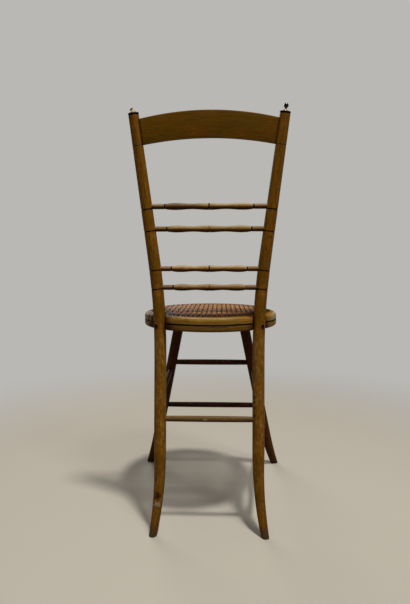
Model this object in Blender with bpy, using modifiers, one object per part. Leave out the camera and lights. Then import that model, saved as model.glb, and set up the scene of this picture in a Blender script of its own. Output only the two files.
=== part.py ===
"""A child's tall chair in turned faux bamboo, with a round caned seat.

The chair faces -Y and stands on the plane z = 0. Left and right are those of the child
who sits in it, so left is +X. Lengths are in metres. The pieces are drawn round the
seat's axis, and an empty then centres the whole chair on its footprint.
"""

import math

import bmesh
import bpy
import numpy as np
from mathutils import Matrix, Vector

# Fits
FIT = 0.0003  # gap that glued and seated faces keep all round
SOCKET_WEB = 0.0018  # wood left between a rung's end and the axis of the leg that holds it
CUT_MARGIN = 0.02  # how far a cutter runs past the faces it opens

# Seat ring and cane
SEAT_HEIGHT = 0.511  # top of the cane above the floor
SEAT_RADIUS = 0.166
RING_WIDTH = 0.038
RING_DEPTH = 0.0392  # from the cane's top to the ring's underside
LAND_WIDTH = 0.0125  # flat inner land that carries the cane
RING_FALL = 0.0050  # how far the top slopes down from the land to the rim
RIM_ROUND = 0.0060
LOWER_ROUND = 0.0045
RING_CHAMFER = 0.0015
RIM_GROOVE_DROP = 0.0236  # scored line below the cane's top
CANE_THICKNESS = 0.0022
CANE_PITCH = 0.0170
CANE_GAP = 0.0098
CANE_RIM = 0.0080  # unbroken edge of the panel

# Back posts, each one piece with its rear leg
BACK_HEIGHT = 0.4395  # from the cane's top to the top of a post
POST_BEARING = 43.37  # degrees from straight behind, where a post's axis meets the rim's circle
BEND_RISE = 0.0140  # middle of the bend above the cane's top
BEND_LENGTH = 0.3000
BACK_SPLAY = 0.1180  # outward slope of the post above the bend
BACK_RAKE = 0.1050  # rearward slope above the bend
LEG_RAKE = 0.1000  # rearward slope below it, towards the foot
POST_RADIUS = 0.0140
POST_TOP_RADIUS = 0.0114
TAPER_FULLNESS = 0.85  # 1 is a straight taper to the foot, less is fuller
REAR_FOOT_RADIUS = 0.0090
REAR_TAPER_HEIGHT = 0.1850  # where the taper to the foot begins
REAR_FLARE_HEIGHT = 0.1650
REAR_FLARE_OUT = 0.0150
REAR_FLARE_BACK = 0.0080
TOP_TAPER_RISE = 0.0900  # where the taper to the top begins, above the cane's top
COLLAR_HEIGHT = 0.0028
COLLAR_SWELL = 0.0006
DOME_HEIGHT = 0.0020
DOME_FLAT_RADIUS = 0.0052
RING_BELOW_CREST = 0.0012
SCORE_WIDTH = 0.0022
SCORE_DEPTH = 0.0008

# Crest rail
CREST_DROP = 0.0685  # lower edge at the posts, below their tops
CREST_HEIGHT = 0.0533  # at the posts
CREST_LOWER_ARCH = 0.0147
CREST_UPPER_ARCH = 0.0186
CREST_THICKNESS = 0.0140
CREST_EDGE_ROUND = 0.0016
CREST_STEPS = 14  # straight stretches along each edge

# Back spindles: name, height above the cane's top, plain end that shows beside a post,
# drop from the spindle's axis to the ring scored round the posts below it
SPINDLES = (
    ("top", 0.2406, 0.0285, 0.0062),
    ("upper", 0.1910, 0.0263, 0.0048),
    ("lower", 0.1014, 0.0240, 0.0032),
    ("bottom", 0.0583, 0.0234, 0.0034),
)
SPINDLE_END_RADIUS = 0.0055
SPINDLE_SWELL_RADIUS = 0.0079
SPINDLE_WAIST_RADIUS = 0.0060
# Swell of a spindle between its end ring and its middle: share of the way, share of the swell
SPINDLE_WAVE = (
    (0.10, 0.70),
    (0.22, 1.00),
    (0.34, 0.85),
    (0.50, 0.25),
    (0.62, 0.00),
    (0.74, 0.25),
    (0.90, 0.85),
)

# Front legs
FRONT_LEG_BEARING = 36.3  # degrees from straight ahead
FRONT_SPLAY_OUT = 0.2105
FRONT_SPLAY_FORWARD = 0.2500
FRONT_LEG_RADIUS = 0.0140
FRONT_FOOT_RADIUS = 0.0104
FRONT_FLARE_HEIGHT = 0.1150
FRONT_FLARE_OUT = 0.0085
FRONT_FLARE_FORWARD = 0.0060
LEG_TENON_RADIUS = 0.0090
LEG_TENON_LENGTH = 0.0220

# Rungs between the legs: heights above the floor
FRONT_RAIL_UPPER_HEIGHT = 0.3377
FRONT_RAIL_LOWER_HEIGHT = 0.2005
SIDE_UPPER_HEIGHT = 0.3140
SIDE_LOWER_HEIGHT = 0.1780
REAR_STRETCHER_HEIGHT = 0.2648
RUNG_RADIUS = 0.0071
FRONT_RAIL_RADIUS = 0.0078
RUNG_TAPER = 0.0006  # how much slimmer a rung is at its ends
RUNG_FULLNESS = 0.6  # 1 is a plain arc along the rung, less is fuller
RUNG_STATIONS = 9

# Screws and plugs that hold the posts in the ring
SCREW_RISE = 0.0090  # of the screw's axis above the ring's underside
SCREW_BEARING = 33.0  # degrees from straight behind
SCREW_REACH = 0.0275  # tip past the post's axis
SHANK_RADIUS = 0.0021
HEAD_RADIUS = 0.0036
HEAD_HEIGHT = 0.0026
SCREW_TIP_RADIUS = 0.0008
SCREW_POINT_LENGTH = 0.0084
PLUG_RADIUS = 0.0043
PLUG_LENGTH = 0.0045
PLUG_SINK = 0.0006  # of the plug's face below the post's surface

# Finials on the posts
BALL_RADIUS = 0.0052
BALL_RISE = 0.0108  # of the ball's centre above the post's top
NECK_RADIUS = 0.0021
FINIAL_BASE_RADIUS = 0.0044
DOWEL_RADIUS = 0.0026
DOWEL_LENGTH = 0.0070
STUMP_RADIUS = 0.0033
STUMP_HEIGHT = 0.0095
STUMP_BREAK_ANGLE = 24.0  # slant of the broken face
BREAK_CUT_SIZE = 0.04

# Facets
POST_SIDES = 16
RUNG_SIDES = 12
RING_SIDES = 56
SMALL_SIDES = 12
NOTCH_SIDES = 24
SOCKET_SIDES = 14
POST_STATION = 0.032  # longest straight stretch along a post or leg
NOTCH_STATIONS = 6
SMOOTH_ANGLE = 40.0  # degrees between faces that still shade as one surface
BEVEL_ANGLE = 50.0  # degrees between faces whose edge is rounded

LEFT = 1
RIGHT = -1
SIDES = (("left", LEFT), ("right", RIGHT))

# Heights and places that several pieces share
RING_BOTTOM = SEAT_HEIGHT - RING_DEPTH
LAND_HEIGHT = SEAT_HEIGHT - CANE_THICKNESS - FIT
RING_INNER_RADIUS = SEAT_RADIUS - RING_WIDTH
LAND_RADIUS = RING_INNER_RADIUS + LAND_WIDTH
LEG_CIRCLE = SEAT_RADIUS - RING_WIDTH / 2  # where the front legs enter the ring
LEG_HALF_SPACING = SEAT_RADIUS * math.sin(math.radians(POST_BEARING))
POST_SETBACK = SEAT_RADIUS * math.cos(math.radians(POST_BEARING))
POST_TOP = SEAT_HEIGHT + BACK_HEIGHT
CREST_LOW = POST_TOP - CREST_DROP
BEND_START = SEAT_HEIGHT + BEND_RISE - BEND_LENGTH / 2
SCREW_HEIGHT = RING_BOTTOM + SCREW_RISE


# Scene and materials

def clear_scene():
    """Remove whatever the file opens with."""
    for existing in list(bpy.data.objects):
        bpy.data.objects.remove(existing, do_unlink=True)


def new_group(name):
    """Add a collection to the scene."""
    group = bpy.data.collections.new(name)
    bpy.context.scene.collection.children.link(group)
    return group


def finish(name, colour, roughness, metallic=0.0):
    """Make a Principled material."""
    material = bpy.data.materials.new(name)
    material.use_nodes = True
    shader = material.node_tree.nodes["Principled BSDF"]
    shader.inputs["Base Color"].default_value = (*colour, 1.0)
    shader.inputs["Roughness"].default_value = roughness
    shader.inputs["Metallic"].default_value = metallic
    return material


# Shapes

def smooth(obj):
    """Shade a round piece smooth, with its sharp edges kept."""
    obj.data.shade_smooth()
    obj.data.set_sharp_from_angle(angle=math.radians(SMOOTH_ANGLE))


def add_mesh(name, mesh, group):
    """Link a mesh to the scene as an object."""
    obj = bpy.data.objects.new(name, mesh)
    group.objects.link(obj)
    return obj


def turned(name, profile, sides, group, closed=False):
    """Turn a profile of (radius, height) points about local Z.

    The points run down the outer side. A closed profile makes a ring.
    """
    mesh = bpy.data.meshes.new(name)
    count = len(profile)
    edges = [(index, index + 1) for index in range(count - 1)]
    if closed:
        edges.append((count - 1, 0))
    mesh.from_pydata([(radius, 0.0, height) for radius, height in profile], edges, [])
    obj = add_mesh(name, mesh, group)
    lathe = obj.modifiers.new("turn", "SCREW")
    lathe.axis = "Z"
    lathe.steps = sides
    lathe.render_steps = sides
    lathe.use_merge_vertices = True
    lathe.merge_threshold = 0.00001
    lathe.use_smooth_shade = True
    return obj


def swept(name, stations, sides, group):
    """Sweep a round section along (point, radius) stations and close its ends."""
    curve = bpy.data.curves.new(name, "CURVE")
    curve.dimensions = "3D"
    curve.bevel_depth = 1.0
    curve.bevel_resolution = (sides - 4) // 2
    curve.render_resolution_u = 0
    curve.use_fill_caps = True
    spline = curve.splines.new("POLY")
    spline.points.add(len(stations) - 1)
    for knot, (point, radius) in zip(spline.points, stations):
        knot.co = (*point, 1.0)
        knot.radius = radius
    return curve_to_mesh(name, curve, group)


def curve_to_mesh(name, curve, group):
    """Turn a curve into a closed mesh object and drop the curve."""
    guide = bpy.data.objects.new(name + "_guide", curve)
    group.objects.link(guide)
    bpy.context.view_layer.update()
    evaluated = guide.evaluated_get(bpy.context.evaluated_depsgraph_get())
    mesh = bpy.data.meshes.new_from_object(evaluated)
    mesh.name = name
    bpy.data.objects.remove(guide, do_unlink=True)
    form = bmesh.new()
    form.from_mesh(mesh)
    bmesh.ops.remove_doubles(form, verts=form.verts, dist=0.00001)
    bmesh.ops.recalc_face_normals(form, faces=form.faces)
    form.to_mesh(mesh)
    form.free()
    return add_mesh(name, mesh, group)


def outline_plate(name, outline, thickness, group):
    """Make a flat plate in local XY from an outline, centred on its thickness."""
    curve = bpy.data.curves.new(name, "CURVE")
    curve.dimensions = "2D"
    curve.fill_mode = "BOTH"
    curve.extrude = thickness / 2
    curve.render_resolution_u = 0
    spline = curve.splines.new("POLY")
    spline.points.add(len(outline) - 1)
    for knot, (across, up) in zip(spline.points, outline):
        knot.co = (across, up, 0.0, 1.0)
    spline.use_cyclic_u = True
    return curve_to_mesh(name, curve, group)


def block(name, size, centre, group):
    """Make a box from the cube primitive."""
    form = bmesh.new()
    bmesh.ops.create_cube(form, size=1.0)
    bmesh.ops.scale(form, vec=size, verts=form.verts)
    mesh = bpy.data.meshes.new(name)
    form.to_mesh(mesh)
    form.free()
    obj = add_mesh(name, mesh, group)
    obj.location = centre
    return obj


def rod(name, start, end, radius, sides, group):
    """Make a plain cylinder between two points."""
    length = (end - start).length
    form = bmesh.new()
    bmesh.ops.create_cone(
        form, cap_ends=True, segments=sides, radius1=radius, radius2=radius, depth=length
    )
    mesh = bpy.data.meshes.new(name)
    form.to_mesh(mesh)
    form.free()
    obj = add_mesh(name, mesh, group)
    obj.matrix_world = aimed((start + end) / 2, end - start)
    return obj


def aimed(place, direction):
    """Return the matrix that puts local Z along a direction at a place."""
    turn = Vector((0.0, 0.0, 1.0)).rotation_difference(direction.normalized())
    return Matrix.Translation(place) @ turn.to_matrix().to_4x4()


def cut(piece, cutter):
    """Take a cutter's shape out of a piece."""
    opening = piece.modifiers.new(cutter.name, "BOOLEAN")
    opening.operation = "DIFFERENCE"
    opening.solver = "EXACT"
    opening.object = cutter
    cutter.hide_render = True
    cutter.display_type = "WIRE"


# Lines that the pieces follow

def bend_travel(height):
    """Height gained above the bend, counted in full only past its end."""
    share = min(max((height - BEND_START) / BEND_LENGTH, 0.0), 1.0)
    inside = BEND_LENGTH * (share ** 3 - share ** 4 / 2)
    return inside + max(height - BEND_START - BEND_LENGTH, 0.0)


def flare(height, top):
    """Share of a foot's outward sweep at a height."""
    return max((top - height) / top, 0.0) ** 2


def post_axis(height, side):
    """Point on a back post's axis."""
    sweep = flare(height, REAR_FLARE_HEIGHT)
    travel = bend_travel(height)
    across = LEG_HALF_SPACING + BACK_SPLAY * travel + REAR_FLARE_OUT * sweep
    straight = POST_SETBACK - LEG_RAKE * (height - BEND_START)
    behind = straight + (LEG_RAKE + BACK_RAKE) * travel + REAR_FLARE_BACK * sweep
    return Vector((side * across, behind, height))


def post_radius(height):
    """Radius of a back post, full at the seat and slimmer at both ends."""
    if height < REAR_TAPER_HEIGHT:
        share = max(height, 0.0) / REAR_TAPER_HEIGHT
        return REAR_FOOT_RADIUS + (POST_RADIUS - REAR_FOOT_RADIUS) * share ** TAPER_FULLNESS
    taper_start = SEAT_HEIGHT + TOP_TAPER_RISE
    share = max(height - taper_start, 0.0) / (POST_TOP - taper_start)
    return POST_RADIUS + (POST_TOP_RADIUS - POST_RADIUS) * share


def front_leg_axis(height, side):
    """Point on a front leg's axis."""
    bearing = math.radians(FRONT_LEG_BEARING)
    drop = RING_BOTTOM - height
    sweep = flare(height, FRONT_FLARE_HEIGHT)
    across = LEG_CIRCLE * math.sin(bearing) + FRONT_SPLAY_OUT * drop + FRONT_FLARE_OUT * sweep
    ahead = LEG_CIRCLE * math.cos(bearing) + FRONT_SPLAY_FORWARD * drop + FRONT_FLARE_FORWARD * sweep
    return Vector((side * across, -ahead, height))


def front_leg_radius(height):
    """Radius of a front leg, slimmer at the foot."""
    share = min(max(height, 0.0) / FRONT_FLARE_HEIGHT, 1.0)
    return FRONT_FOOT_RADIUS + (FRONT_LEG_RADIUS - FRONT_FOOT_RADIUS) * math.sin(share * math.pi / 2)


def heights_between(low, high):
    """Even stations from low to high, none longer than a post's station."""
    count = math.ceil((high - low) / POST_STATION)
    return np.linspace(low, high, count + 1).tolist()


# Back

def score_heights():
    """Heights of the rings scored round each back post."""
    rings = [SEAT_HEIGHT + rise - drop for _, rise, _, drop in SPINDLES]
    rings.append(CREST_LOW - RING_BELOW_CREST)
    return sorted(rings)


def post_stations(side):
    """Stations of a back post, with its scored rings, collar and domed top."""
    collar_low = POST_TOP - DOME_HEIGHT - COLLAR_HEIGHT
    plain = heights_between(-CUT_MARGIN, collar_low - SCORE_WIDTH)
    rings = score_heights()
    keep_off = POST_STATION / 4
    plain = [
        height for height in plain
        if all(abs(height - ring) > keep_off for ring in rings)
    ]
    sizes = {height: post_radius(height) for height in plain}
    for ring in rings:
        sizes[ring - SCORE_WIDTH / 2] = post_radius(ring)
        sizes[ring] = post_radius(ring) - SCORE_DEPTH
        sizes[ring + SCORE_WIDTH / 2] = post_radius(ring)
    sizes[collar_low] = POST_TOP_RADIUS - SCORE_DEPTH
    sizes[collar_low + SCORE_WIDTH / 2] = POST_TOP_RADIUS + COLLAR_SWELL
    sizes[POST_TOP - DOME_HEIGHT] = POST_TOP_RADIUS + COLLAR_SWELL
    sizes[POST_TOP - DOME_HEIGHT / 3] = (POST_TOP_RADIUS + DOME_FLAT_RADIUS) / 2
    sizes[POST_TOP] = DOME_FLAT_RADIUS
    return [(post_axis(height, side), sizes[height]) for height in sorted(sizes)]


def build_posts(group, wood):
    """Make both back posts."""
    posts = {}
    for word, side in SIDES:
        post = swept("back_post_" + word, post_stations(side), POST_SIDES, group)
        post.data.materials.append(wood)
        smooth(post)
        posts[side] = post
    return posts


def crest_outline(grow):
    """Arched outline of the crest rail in its own plane, grown all round by a gap."""
    slant = math.hypot(1.0, BACK_RAKE)
    web = DOWEL_RADIUS + SOCKET_WEB  # keeps the ends clear of the finials' dowels
    low_end = post_axis(CREST_LOW, LEFT).x - web + grow
    high_end = post_axis(CREST_LOW + CREST_HEIGHT, LEFT).x - web + grow
    lower = []
    upper = []
    for share in np.linspace(-1.0, 1.0, CREST_STEPS + 1).tolist():
        bow = 1.0 - share * share
        lower.append((low_end * share, (CREST_LOWER_ARCH * bow - grow) * slant))
        upper.append((high_end * share, (CREST_HEIGHT + CREST_UPPER_ARCH * bow + grow) * slant))
    return lower + upper[::-1]


def crest_matrix():
    """Place the crest rail's plane on the axes of the posts."""
    foot = post_axis(CREST_LOW, LEFT)
    rake = math.atan(BACK_RAKE)
    upright = Matrix.Rotation(math.pi / 2 - rake, 4, "X")
    return Matrix.Translation((0.0, foot.y, foot.z)) @ upright


def build_crest(group, cutters, wood, posts):
    """Make the crest rail and its mortises in the posts."""
    crest = outline_plate("crest_rail", crest_outline(0.0), CREST_THICKNESS, group)
    crest.matrix_world = crest_matrix()
    rounding = crest.modifiers.new("rounded_edges", "BEVEL")
    rounding.width = CREST_EDGE_ROUND
    rounding.segments = 2
    rounding.limit_method = "ANGLE"
    rounding.angle_limit = math.radians(BEVEL_ANGLE)
    crest.data.materials.append(wood)
    smooth(crest)
    mortise = outline_plate("crest_mortise", crest_outline(FIT), CREST_THICKNESS + 2 * FIT, cutters)
    mortise.matrix_world = crest_matrix()
    for post in posts.values():
        cut(post, mortise)


def spindle_profile(length, end_length):
    """Faux bamboo: plain ends, then two bays that swell beside each scored ring."""
    middle = length / 2
    ring = end_length
    bay = middle - ring
    lip = SCORE_WIDTH / 2
    swell = SPINDLE_SWELL_RADIUS - SPINDLE_WAIST_RADIUS
    half = [
        (0.0, 0.0),
        (SPINDLE_END_RADIUS, 0.0),
        (SPINDLE_END_RADIUS, ring - lip),
        (SPINDLE_END_RADIUS - SCORE_DEPTH, ring),
        (SPINDLE_WAIST_RADIUS, ring + lip),
    ]
    half += [(SPINDLE_WAIST_RADIUS + swell * part, ring + bay * way) for way, part in SPINDLE_WAVE]
    half.append((SPINDLE_SWELL_RADIUS, middle - lip))
    other = [(radius, length - along) for radius, along in half]
    groove = [(SPINDLE_SWELL_RADIUS - SCORE_DEPTH, middle)]
    return other + groove + half[::-1]


def build_spindles(group, cutters, wood, posts):
    """Make the back spindles and their sockets."""
    for word, rise, plain_end, _ in SPINDLES:
        height = SEAT_HEIGHT + rise
        start = post_axis(height, RIGHT)
        end = post_axis(height, LEFT)
        hidden = post_radius(height) - SOCKET_WEB
        build_rung(
            "back_spindle_" + word, start, end, group, cutters, wood,
            lambda length: spindle_profile(length, hidden + plain_end),
            SPINDLE_END_RADIUS, posts.values(),
        )


# Rungs

def rung_profile(length, hidden, radius):
    """Slender rung, fullest at the middle, with straight ends in its sockets."""
    shares = np.linspace(0.0, 1.0, RUNG_STATIONS).tolist()
    open_length = length - 2 * hidden
    end_radius = radius - RUNG_TAPER
    body = [
        (end_radius + RUNG_TAPER * math.sin(share * math.pi) ** RUNG_FULLNESS, hidden + open_length * share)
        for share in shares[1:-1]
    ]
    low = [(0.0, 0.0), (end_radius, 0.0), (end_radius, hidden)]
    high = [(end_radius, length - hidden), (end_radius, length), (0.0, length)]
    return (low + body + high)[::-1]


def build_rung(name, start, end, group, cutters, wood, profile, end_radius, holders):
    """Turn a rung between two leg axes and open its sockets in what holds it."""
    way = (end - start).normalized()
    low = start + way * SOCKET_WEB
    high = end - way * SOCKET_WEB
    rung = turned(name, profile((high - low).length), RUNG_SIDES, group)
    rung.matrix_world = aimed(low, way)
    rung.data.materials.append(wood)
    socket = rod(
        name + "_socket", low - way * FIT, high + way * FIT, end_radius + FIT, SOCKET_SIDES, cutters
    )
    for holder in holders:
        cut(holder, socket)


def build_stretchers(group, cutters, wood, dark_wood, posts, legs):
    """Make the rungs that tie the legs together."""
    hidden = max(POST_RADIUS, FRONT_LEG_RADIUS) + SOCKET_WEB
    routes = [
        ("front_rail_upper", front_leg_axis, front_leg_axis, FRONT_RAIL_UPPER_HEIGHT, None, dark_wood),
        ("front_rail_lower", front_leg_axis, front_leg_axis, FRONT_RAIL_LOWER_HEIGHT, None, dark_wood),
        ("rear_stretcher", post_axis, post_axis, REAR_STRETCHER_HEIGHT, None, wood),
    ]
    for word, side in SIDES:
        routes += [
            ("side_stretcher_upper_" + word, front_leg_axis, post_axis, SIDE_UPPER_HEIGHT, side, wood),
            ("side_stretcher_lower_" + word, front_leg_axis, post_axis, SIDE_LOWER_HEIGHT, side, wood),
        ]
    for name, from_axis, to_axis, height, side, finish_of in routes:
        start = from_axis(height, side or RIGHT)
        end = to_axis(height, side or LEFT)
        radius = RUNG_RADIUS
        if side:
            holders = [legs[side], posts[side]]
        elif from_axis is front_leg_axis:
            holders = list(legs.values())
            radius = FRONT_RAIL_RADIUS
        else:
            holders = list(posts.values())
        build_rung(
            name, start, end, group, cutters, finish_of,
            lambda length: rung_profile(length, hidden, radius), radius - RUNG_TAPER, holders,
        )


# Seat

def ring_profile():
    """Section of the seat ring: a sloping top, a scored rim and a plain inside."""
    rim_top = LAND_HEIGHT - RING_FALL
    groove = SEAT_HEIGHT - RIM_GROOVE_DROP
    half_score = SCORE_WIDTH / 2
    upper = [
        (
            SEAT_RADIUS - RIM_ROUND * (1.0 - math.sin(angle)),
            rim_top - RIM_ROUND * (1.0 - math.cos(angle)),
        )
        for angle in np.linspace(0.0, math.pi / 2, 4).tolist()
    ]
    lower = [
        (
            SEAT_RADIUS - LOWER_ROUND * (1.0 - math.cos(angle)),
            RING_BOTTOM + LOWER_ROUND * (1.0 - math.sin(angle)),
        )
        for angle in np.linspace(0.0, math.pi / 2, 3).tolist()
    ]
    scored = [
        (SEAT_RADIUS, groove + half_score),
        (SEAT_RADIUS - SCORE_DEPTH, groove),
        (SEAT_RADIUS, groove - half_score),
    ]
    inside = [
        (RING_INNER_RADIUS + RING_CHAMFER, RING_BOTTOM),
        (RING_INNER_RADIUS, RING_BOTTOM + RING_CHAMFER),
        (RING_INNER_RADIUS, LAND_HEIGHT - RING_CHAMFER),
        (RING_INNER_RADIUS + RING_CHAMFER, LAND_HEIGHT),
        (LAND_RADIUS, LAND_HEIGHT),
    ]
    return upper + scored + lower + inside


def build_ring(group, cutters, wood):
    """Make the seat ring, notched where the posts pass its rim."""
    ring = turned("seat_ring", ring_profile(), RING_SIDES, group, closed=True)
    ring.data.materials.append(wood)
    for word, side in SIDES:
        reach = (RING_BOTTOM - CUT_MARGIN, SEAT_HEIGHT + CUT_MARGIN)
        stations = [
            (post_axis(height, side), post_radius(height) + FIT)
            for height in np.linspace(*reach, NOTCH_STATIONS).tolist()
        ]
        cut(ring, swept("post_notch_" + word, stations, NOTCH_SIDES, cutters))
    return ring


def build_cane(group, cutters, straw):
    """Make the cane as a flat net with an unbroken edge."""
    radius = LAND_RADIUS - FIT
    strand = CANE_PITCH - CANE_GAP
    count = math.ceil(radius / CANE_PITCH)
    lines = []
    for index in range(-count, count + 1):
        lines += [index * CANE_PITCH - CANE_GAP / 2, index * CANE_PITCH + CANE_GAP / 2]
    lines = [lines[0] - strand] + lines + [lines[-1] + strand]
    form = bmesh.new()
    grid = [[form.verts.new((across, along, 0.0)) for along in lines] for across in lines]
    open_radius = radius - CANE_RIM
    for column in range(len(lines) - 1):
        for row in range(len(lines) - 1):
            corners = [
                grid[column][row], grid[column + 1][row],
                grid[column + 1][row + 1], grid[column][row + 1],
            ]
            farthest = max(corner.co.length for corner in corners)
            is_gap = column % 2 == 1 and row % 2 == 1
            if is_gap and farthest < open_radius:
                continue
            form.faces.new(corners)
    mesh = bpy.data.meshes.new("cane_panel")
    form.to_mesh(mesh)
    form.free()
    cane = add_mesh("cane_panel", mesh, group)
    cane.location = (0.0, 0.0, SEAT_HEIGHT - CANE_THICKNESS)
    thicken = cane.modifiers.new("thickness", "SOLIDIFY")
    thicken.thickness = CANE_THICKNESS
    thicken.offset = 1.0
    middle = Vector((0.0, 0.0, SEAT_HEIGHT))
    reach = Vector((0.0, 0.0, CUT_MARGIN))
    disc = rod("cane_outline", middle - reach, middle + reach, radius, RING_SIDES, cutters)
    disc.hide_render = True
    disc.display_type = "WIRE"
    trim = cane.modifiers.new("round_edge", "BOOLEAN")
    trim.operation = "INTERSECT"
    trim.solver = "EXACT"
    trim.object = disc
    cane.data.materials.append(straw)


# Legs

def build_front_legs(group, cutters, wood, ring):
    """Make the front legs, tenoned up into the ring."""
    legs = {}
    for word, side in SIDES:
        shoulder = RING_BOTTOM - FIT - FRONT_LEG_RADIUS * math.hypot(FRONT_SPLAY_OUT, FRONT_SPLAY_FORWARD)
        stations = [
            (front_leg_axis(height, side), front_leg_radius(height))
            for height in heights_between(-CUT_MARGIN, shoulder)
        ]
        tenon_top = RING_BOTTOM + LEG_TENON_LENGTH
        tenon_low = front_leg_axis(shoulder + FIT, side)
        tenon_high = front_leg_axis(tenon_top, side)
        stations += [(tenon_low, LEG_TENON_RADIUS), (tenon_high, LEG_TENON_RADIUS)]
        leg = swept("front_leg_" + word, stations, POST_SIDES, group)
        leg.data.materials.append(wood)
        smooth(leg)
        way = (tenon_high - tenon_low).normalized()
        socket = rod(
            "leg_socket_" + word, tenon_low - way * CUT_MARGIN, tenon_high + way * FIT,
            LEG_TENON_RADIUS + FIT, SOCKET_SIDES, cutters,
        )
        cut(ring, socket)
        legs[side] = leg
    return legs


def trim_feet(cutters, uprights):
    """Cut every foot flat on the floor."""
    size = 2 * SEAT_HEIGHT
    floor = block("floor_cut", (size, size, size), (0.0, 0.0, -size / 2), cutters)
    for upright in uprights:
        cut(upright, floor)


# Fasteners and finials

def build_fasteners(group, cutters, steel, black, posts, ring):
    """Make the screws through the posts into the ring, and the plugs over them."""
    bearing = math.radians(SCREW_BEARING)
    radius = post_radius(SCREW_HEIGHT)
    plug_low = -radius + PLUG_SINK
    head_low = plug_low + PLUG_LENGTH + FIT
    head_high = head_low + HEAD_HEIGHT
    for word, side in SIDES:
        way = Vector((-side * math.sin(bearing), -math.cos(bearing), 0.0))
        place = aimed(post_axis(SCREW_HEIGHT, side), way)
        screw_profile = [
            (0.0, SCREW_REACH),
            (SCREW_TIP_RADIUS, SCREW_REACH - SCREW_TIP_RADIUS),
            (SHANK_RADIUS, SCREW_REACH - SCREW_POINT_LENGTH),
            (SHANK_RADIUS, head_high),
            (HEAD_RADIUS, head_high),
            (HEAD_RADIUS, head_low),
            (0.0, head_low),
        ]
        plug_profile = [
            (0.0, plug_low + PLUG_LENGTH),
            (PLUG_RADIUS, plug_low + PLUG_LENGTH),
            (PLUG_RADIUS, plug_low + PLUG_SINK),
            (PLUG_RADIUS - PLUG_SINK, plug_low),
            (0.0, plug_low),
        ]
        hole_profile = [
            (0.0, SCREW_REACH + FIT),
            (SHANK_RADIUS + FIT, SCREW_REACH + FIT),
            (SHANK_RADIUS + FIT, head_high + FIT),
            (PLUG_RADIUS + FIT, head_high + FIT),
            (PLUG_RADIUS + FIT, -radius - CUT_MARGIN),
            (0.0, -radius - CUT_MARGIN),
        ]
        screw = turned("post_screw_" + word, screw_profile, SMALL_SIDES, group)
        screw.data.materials.append(steel)
        plug = turned("post_plug_" + word, plug_profile, SMALL_SIDES, group)
        plug.data.materials.append(black)
        hole = turned("screw_hole_" + word, hole_profile, SMALL_SIDES, cutters)
        for obj in (screw, plug, hole):
            obj.matrix_world = place
        cut(posts[side], hole)
        cut(ring, hole)


def ball_finial_profile():
    """Ball on a thin neck, with a dowel below its base."""
    neck_angle = math.asin(NECK_RADIUS / BALL_RADIUS)
    ball = [
        (BALL_RADIUS * math.sin(angle), BALL_RISE + BALL_RADIUS * math.cos(angle))
        for angle in np.linspace(0.0, math.pi - neck_angle, 8).tolist()
    ]
    base_height = FIT + NECK_RADIUS
    base = [
        (NECK_RADIUS, (base_height + BALL_RISE - BALL_RADIUS) / 2),
        (FINIAL_BASE_RADIUS, base_height),
        (FINIAL_BASE_RADIUS, FIT),
    ]
    return ball + base + dowel_profile()


def stump_profile():
    """Stump of a finial that has lost its ball, cut to a slant afterwards."""
    return [
        (0.0, STUMP_HEIGHT),
        (STUMP_RADIUS, STUMP_HEIGHT),
        (STUMP_RADIUS, FINIAL_BASE_RADIUS),
        (FINIAL_BASE_RADIUS, NECK_RADIUS),
        (FINIAL_BASE_RADIUS, FIT),
    ] + dowel_profile()


def dowel_profile():
    """Dowel that the finial stands on."""
    return [(DOWEL_RADIUS, FIT), (DOWEL_RADIUS, -DOWEL_LENGTH), (0.0, -DOWEL_LENGTH)]


def build_finials(group, cutters, wood, posts):
    """Make the ball finial and the stump, each dowelled into its post."""
    profiles = {LEFT: stump_profile(), RIGHT: ball_finial_profile()}
    for word, side in SIDES:
        top = post_axis(POST_TOP, side)
        way = top - post_axis(POST_TOP - DOWEL_LENGTH, side)
        place = aimed(top, way)
        finial = turned("finial_" + word, profiles[side], SMALL_SIDES, group)
        finial.matrix_world = place
        finial.data.materials.append(wood)
        unit = way.normalized()
        hole = rod(
            "dowel_hole_" + word, top - unit * (DOWEL_LENGTH + FIT), top + unit * CUT_MARGIN,
            DOWEL_RADIUS + FIT, SMALL_SIDES, cutters,
        )
        cut(posts[side], hole)
        if side == LEFT:
            size = BREAK_CUT_SIZE
            slant = block("stump_break", (size, size, size), (0.0, 0.0, 0.0), cutters)
            lean = Matrix.Rotation(math.radians(STUMP_BREAK_ANGLE), 4, "Y")
            raise_by = STUMP_HEIGHT - STUMP_RADIUS + size / 2
            slant.matrix_world = place @ lean @ Matrix.Translation((0.0, 0.0, raise_by))
            cut(finial, slant)


# Whole chair

def centre_on_footprint(pieces, root):
    """Move the chair so that the middle of its plan lies on the origin."""
    bpy.context.view_layer.update()
    graph = bpy.context.evaluated_depsgraph_get()
    reach = []
    for piece in pieces:
        solid = piece.evaluated_get(graph)
        mesh = solid.to_mesh()
        reach += [(solid.matrix_world @ vertex.co).y for vertex in mesh.vertices]
        solid.to_mesh_clear()
    root.location.y = -(min(reach) + max(reach)) / 2


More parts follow.
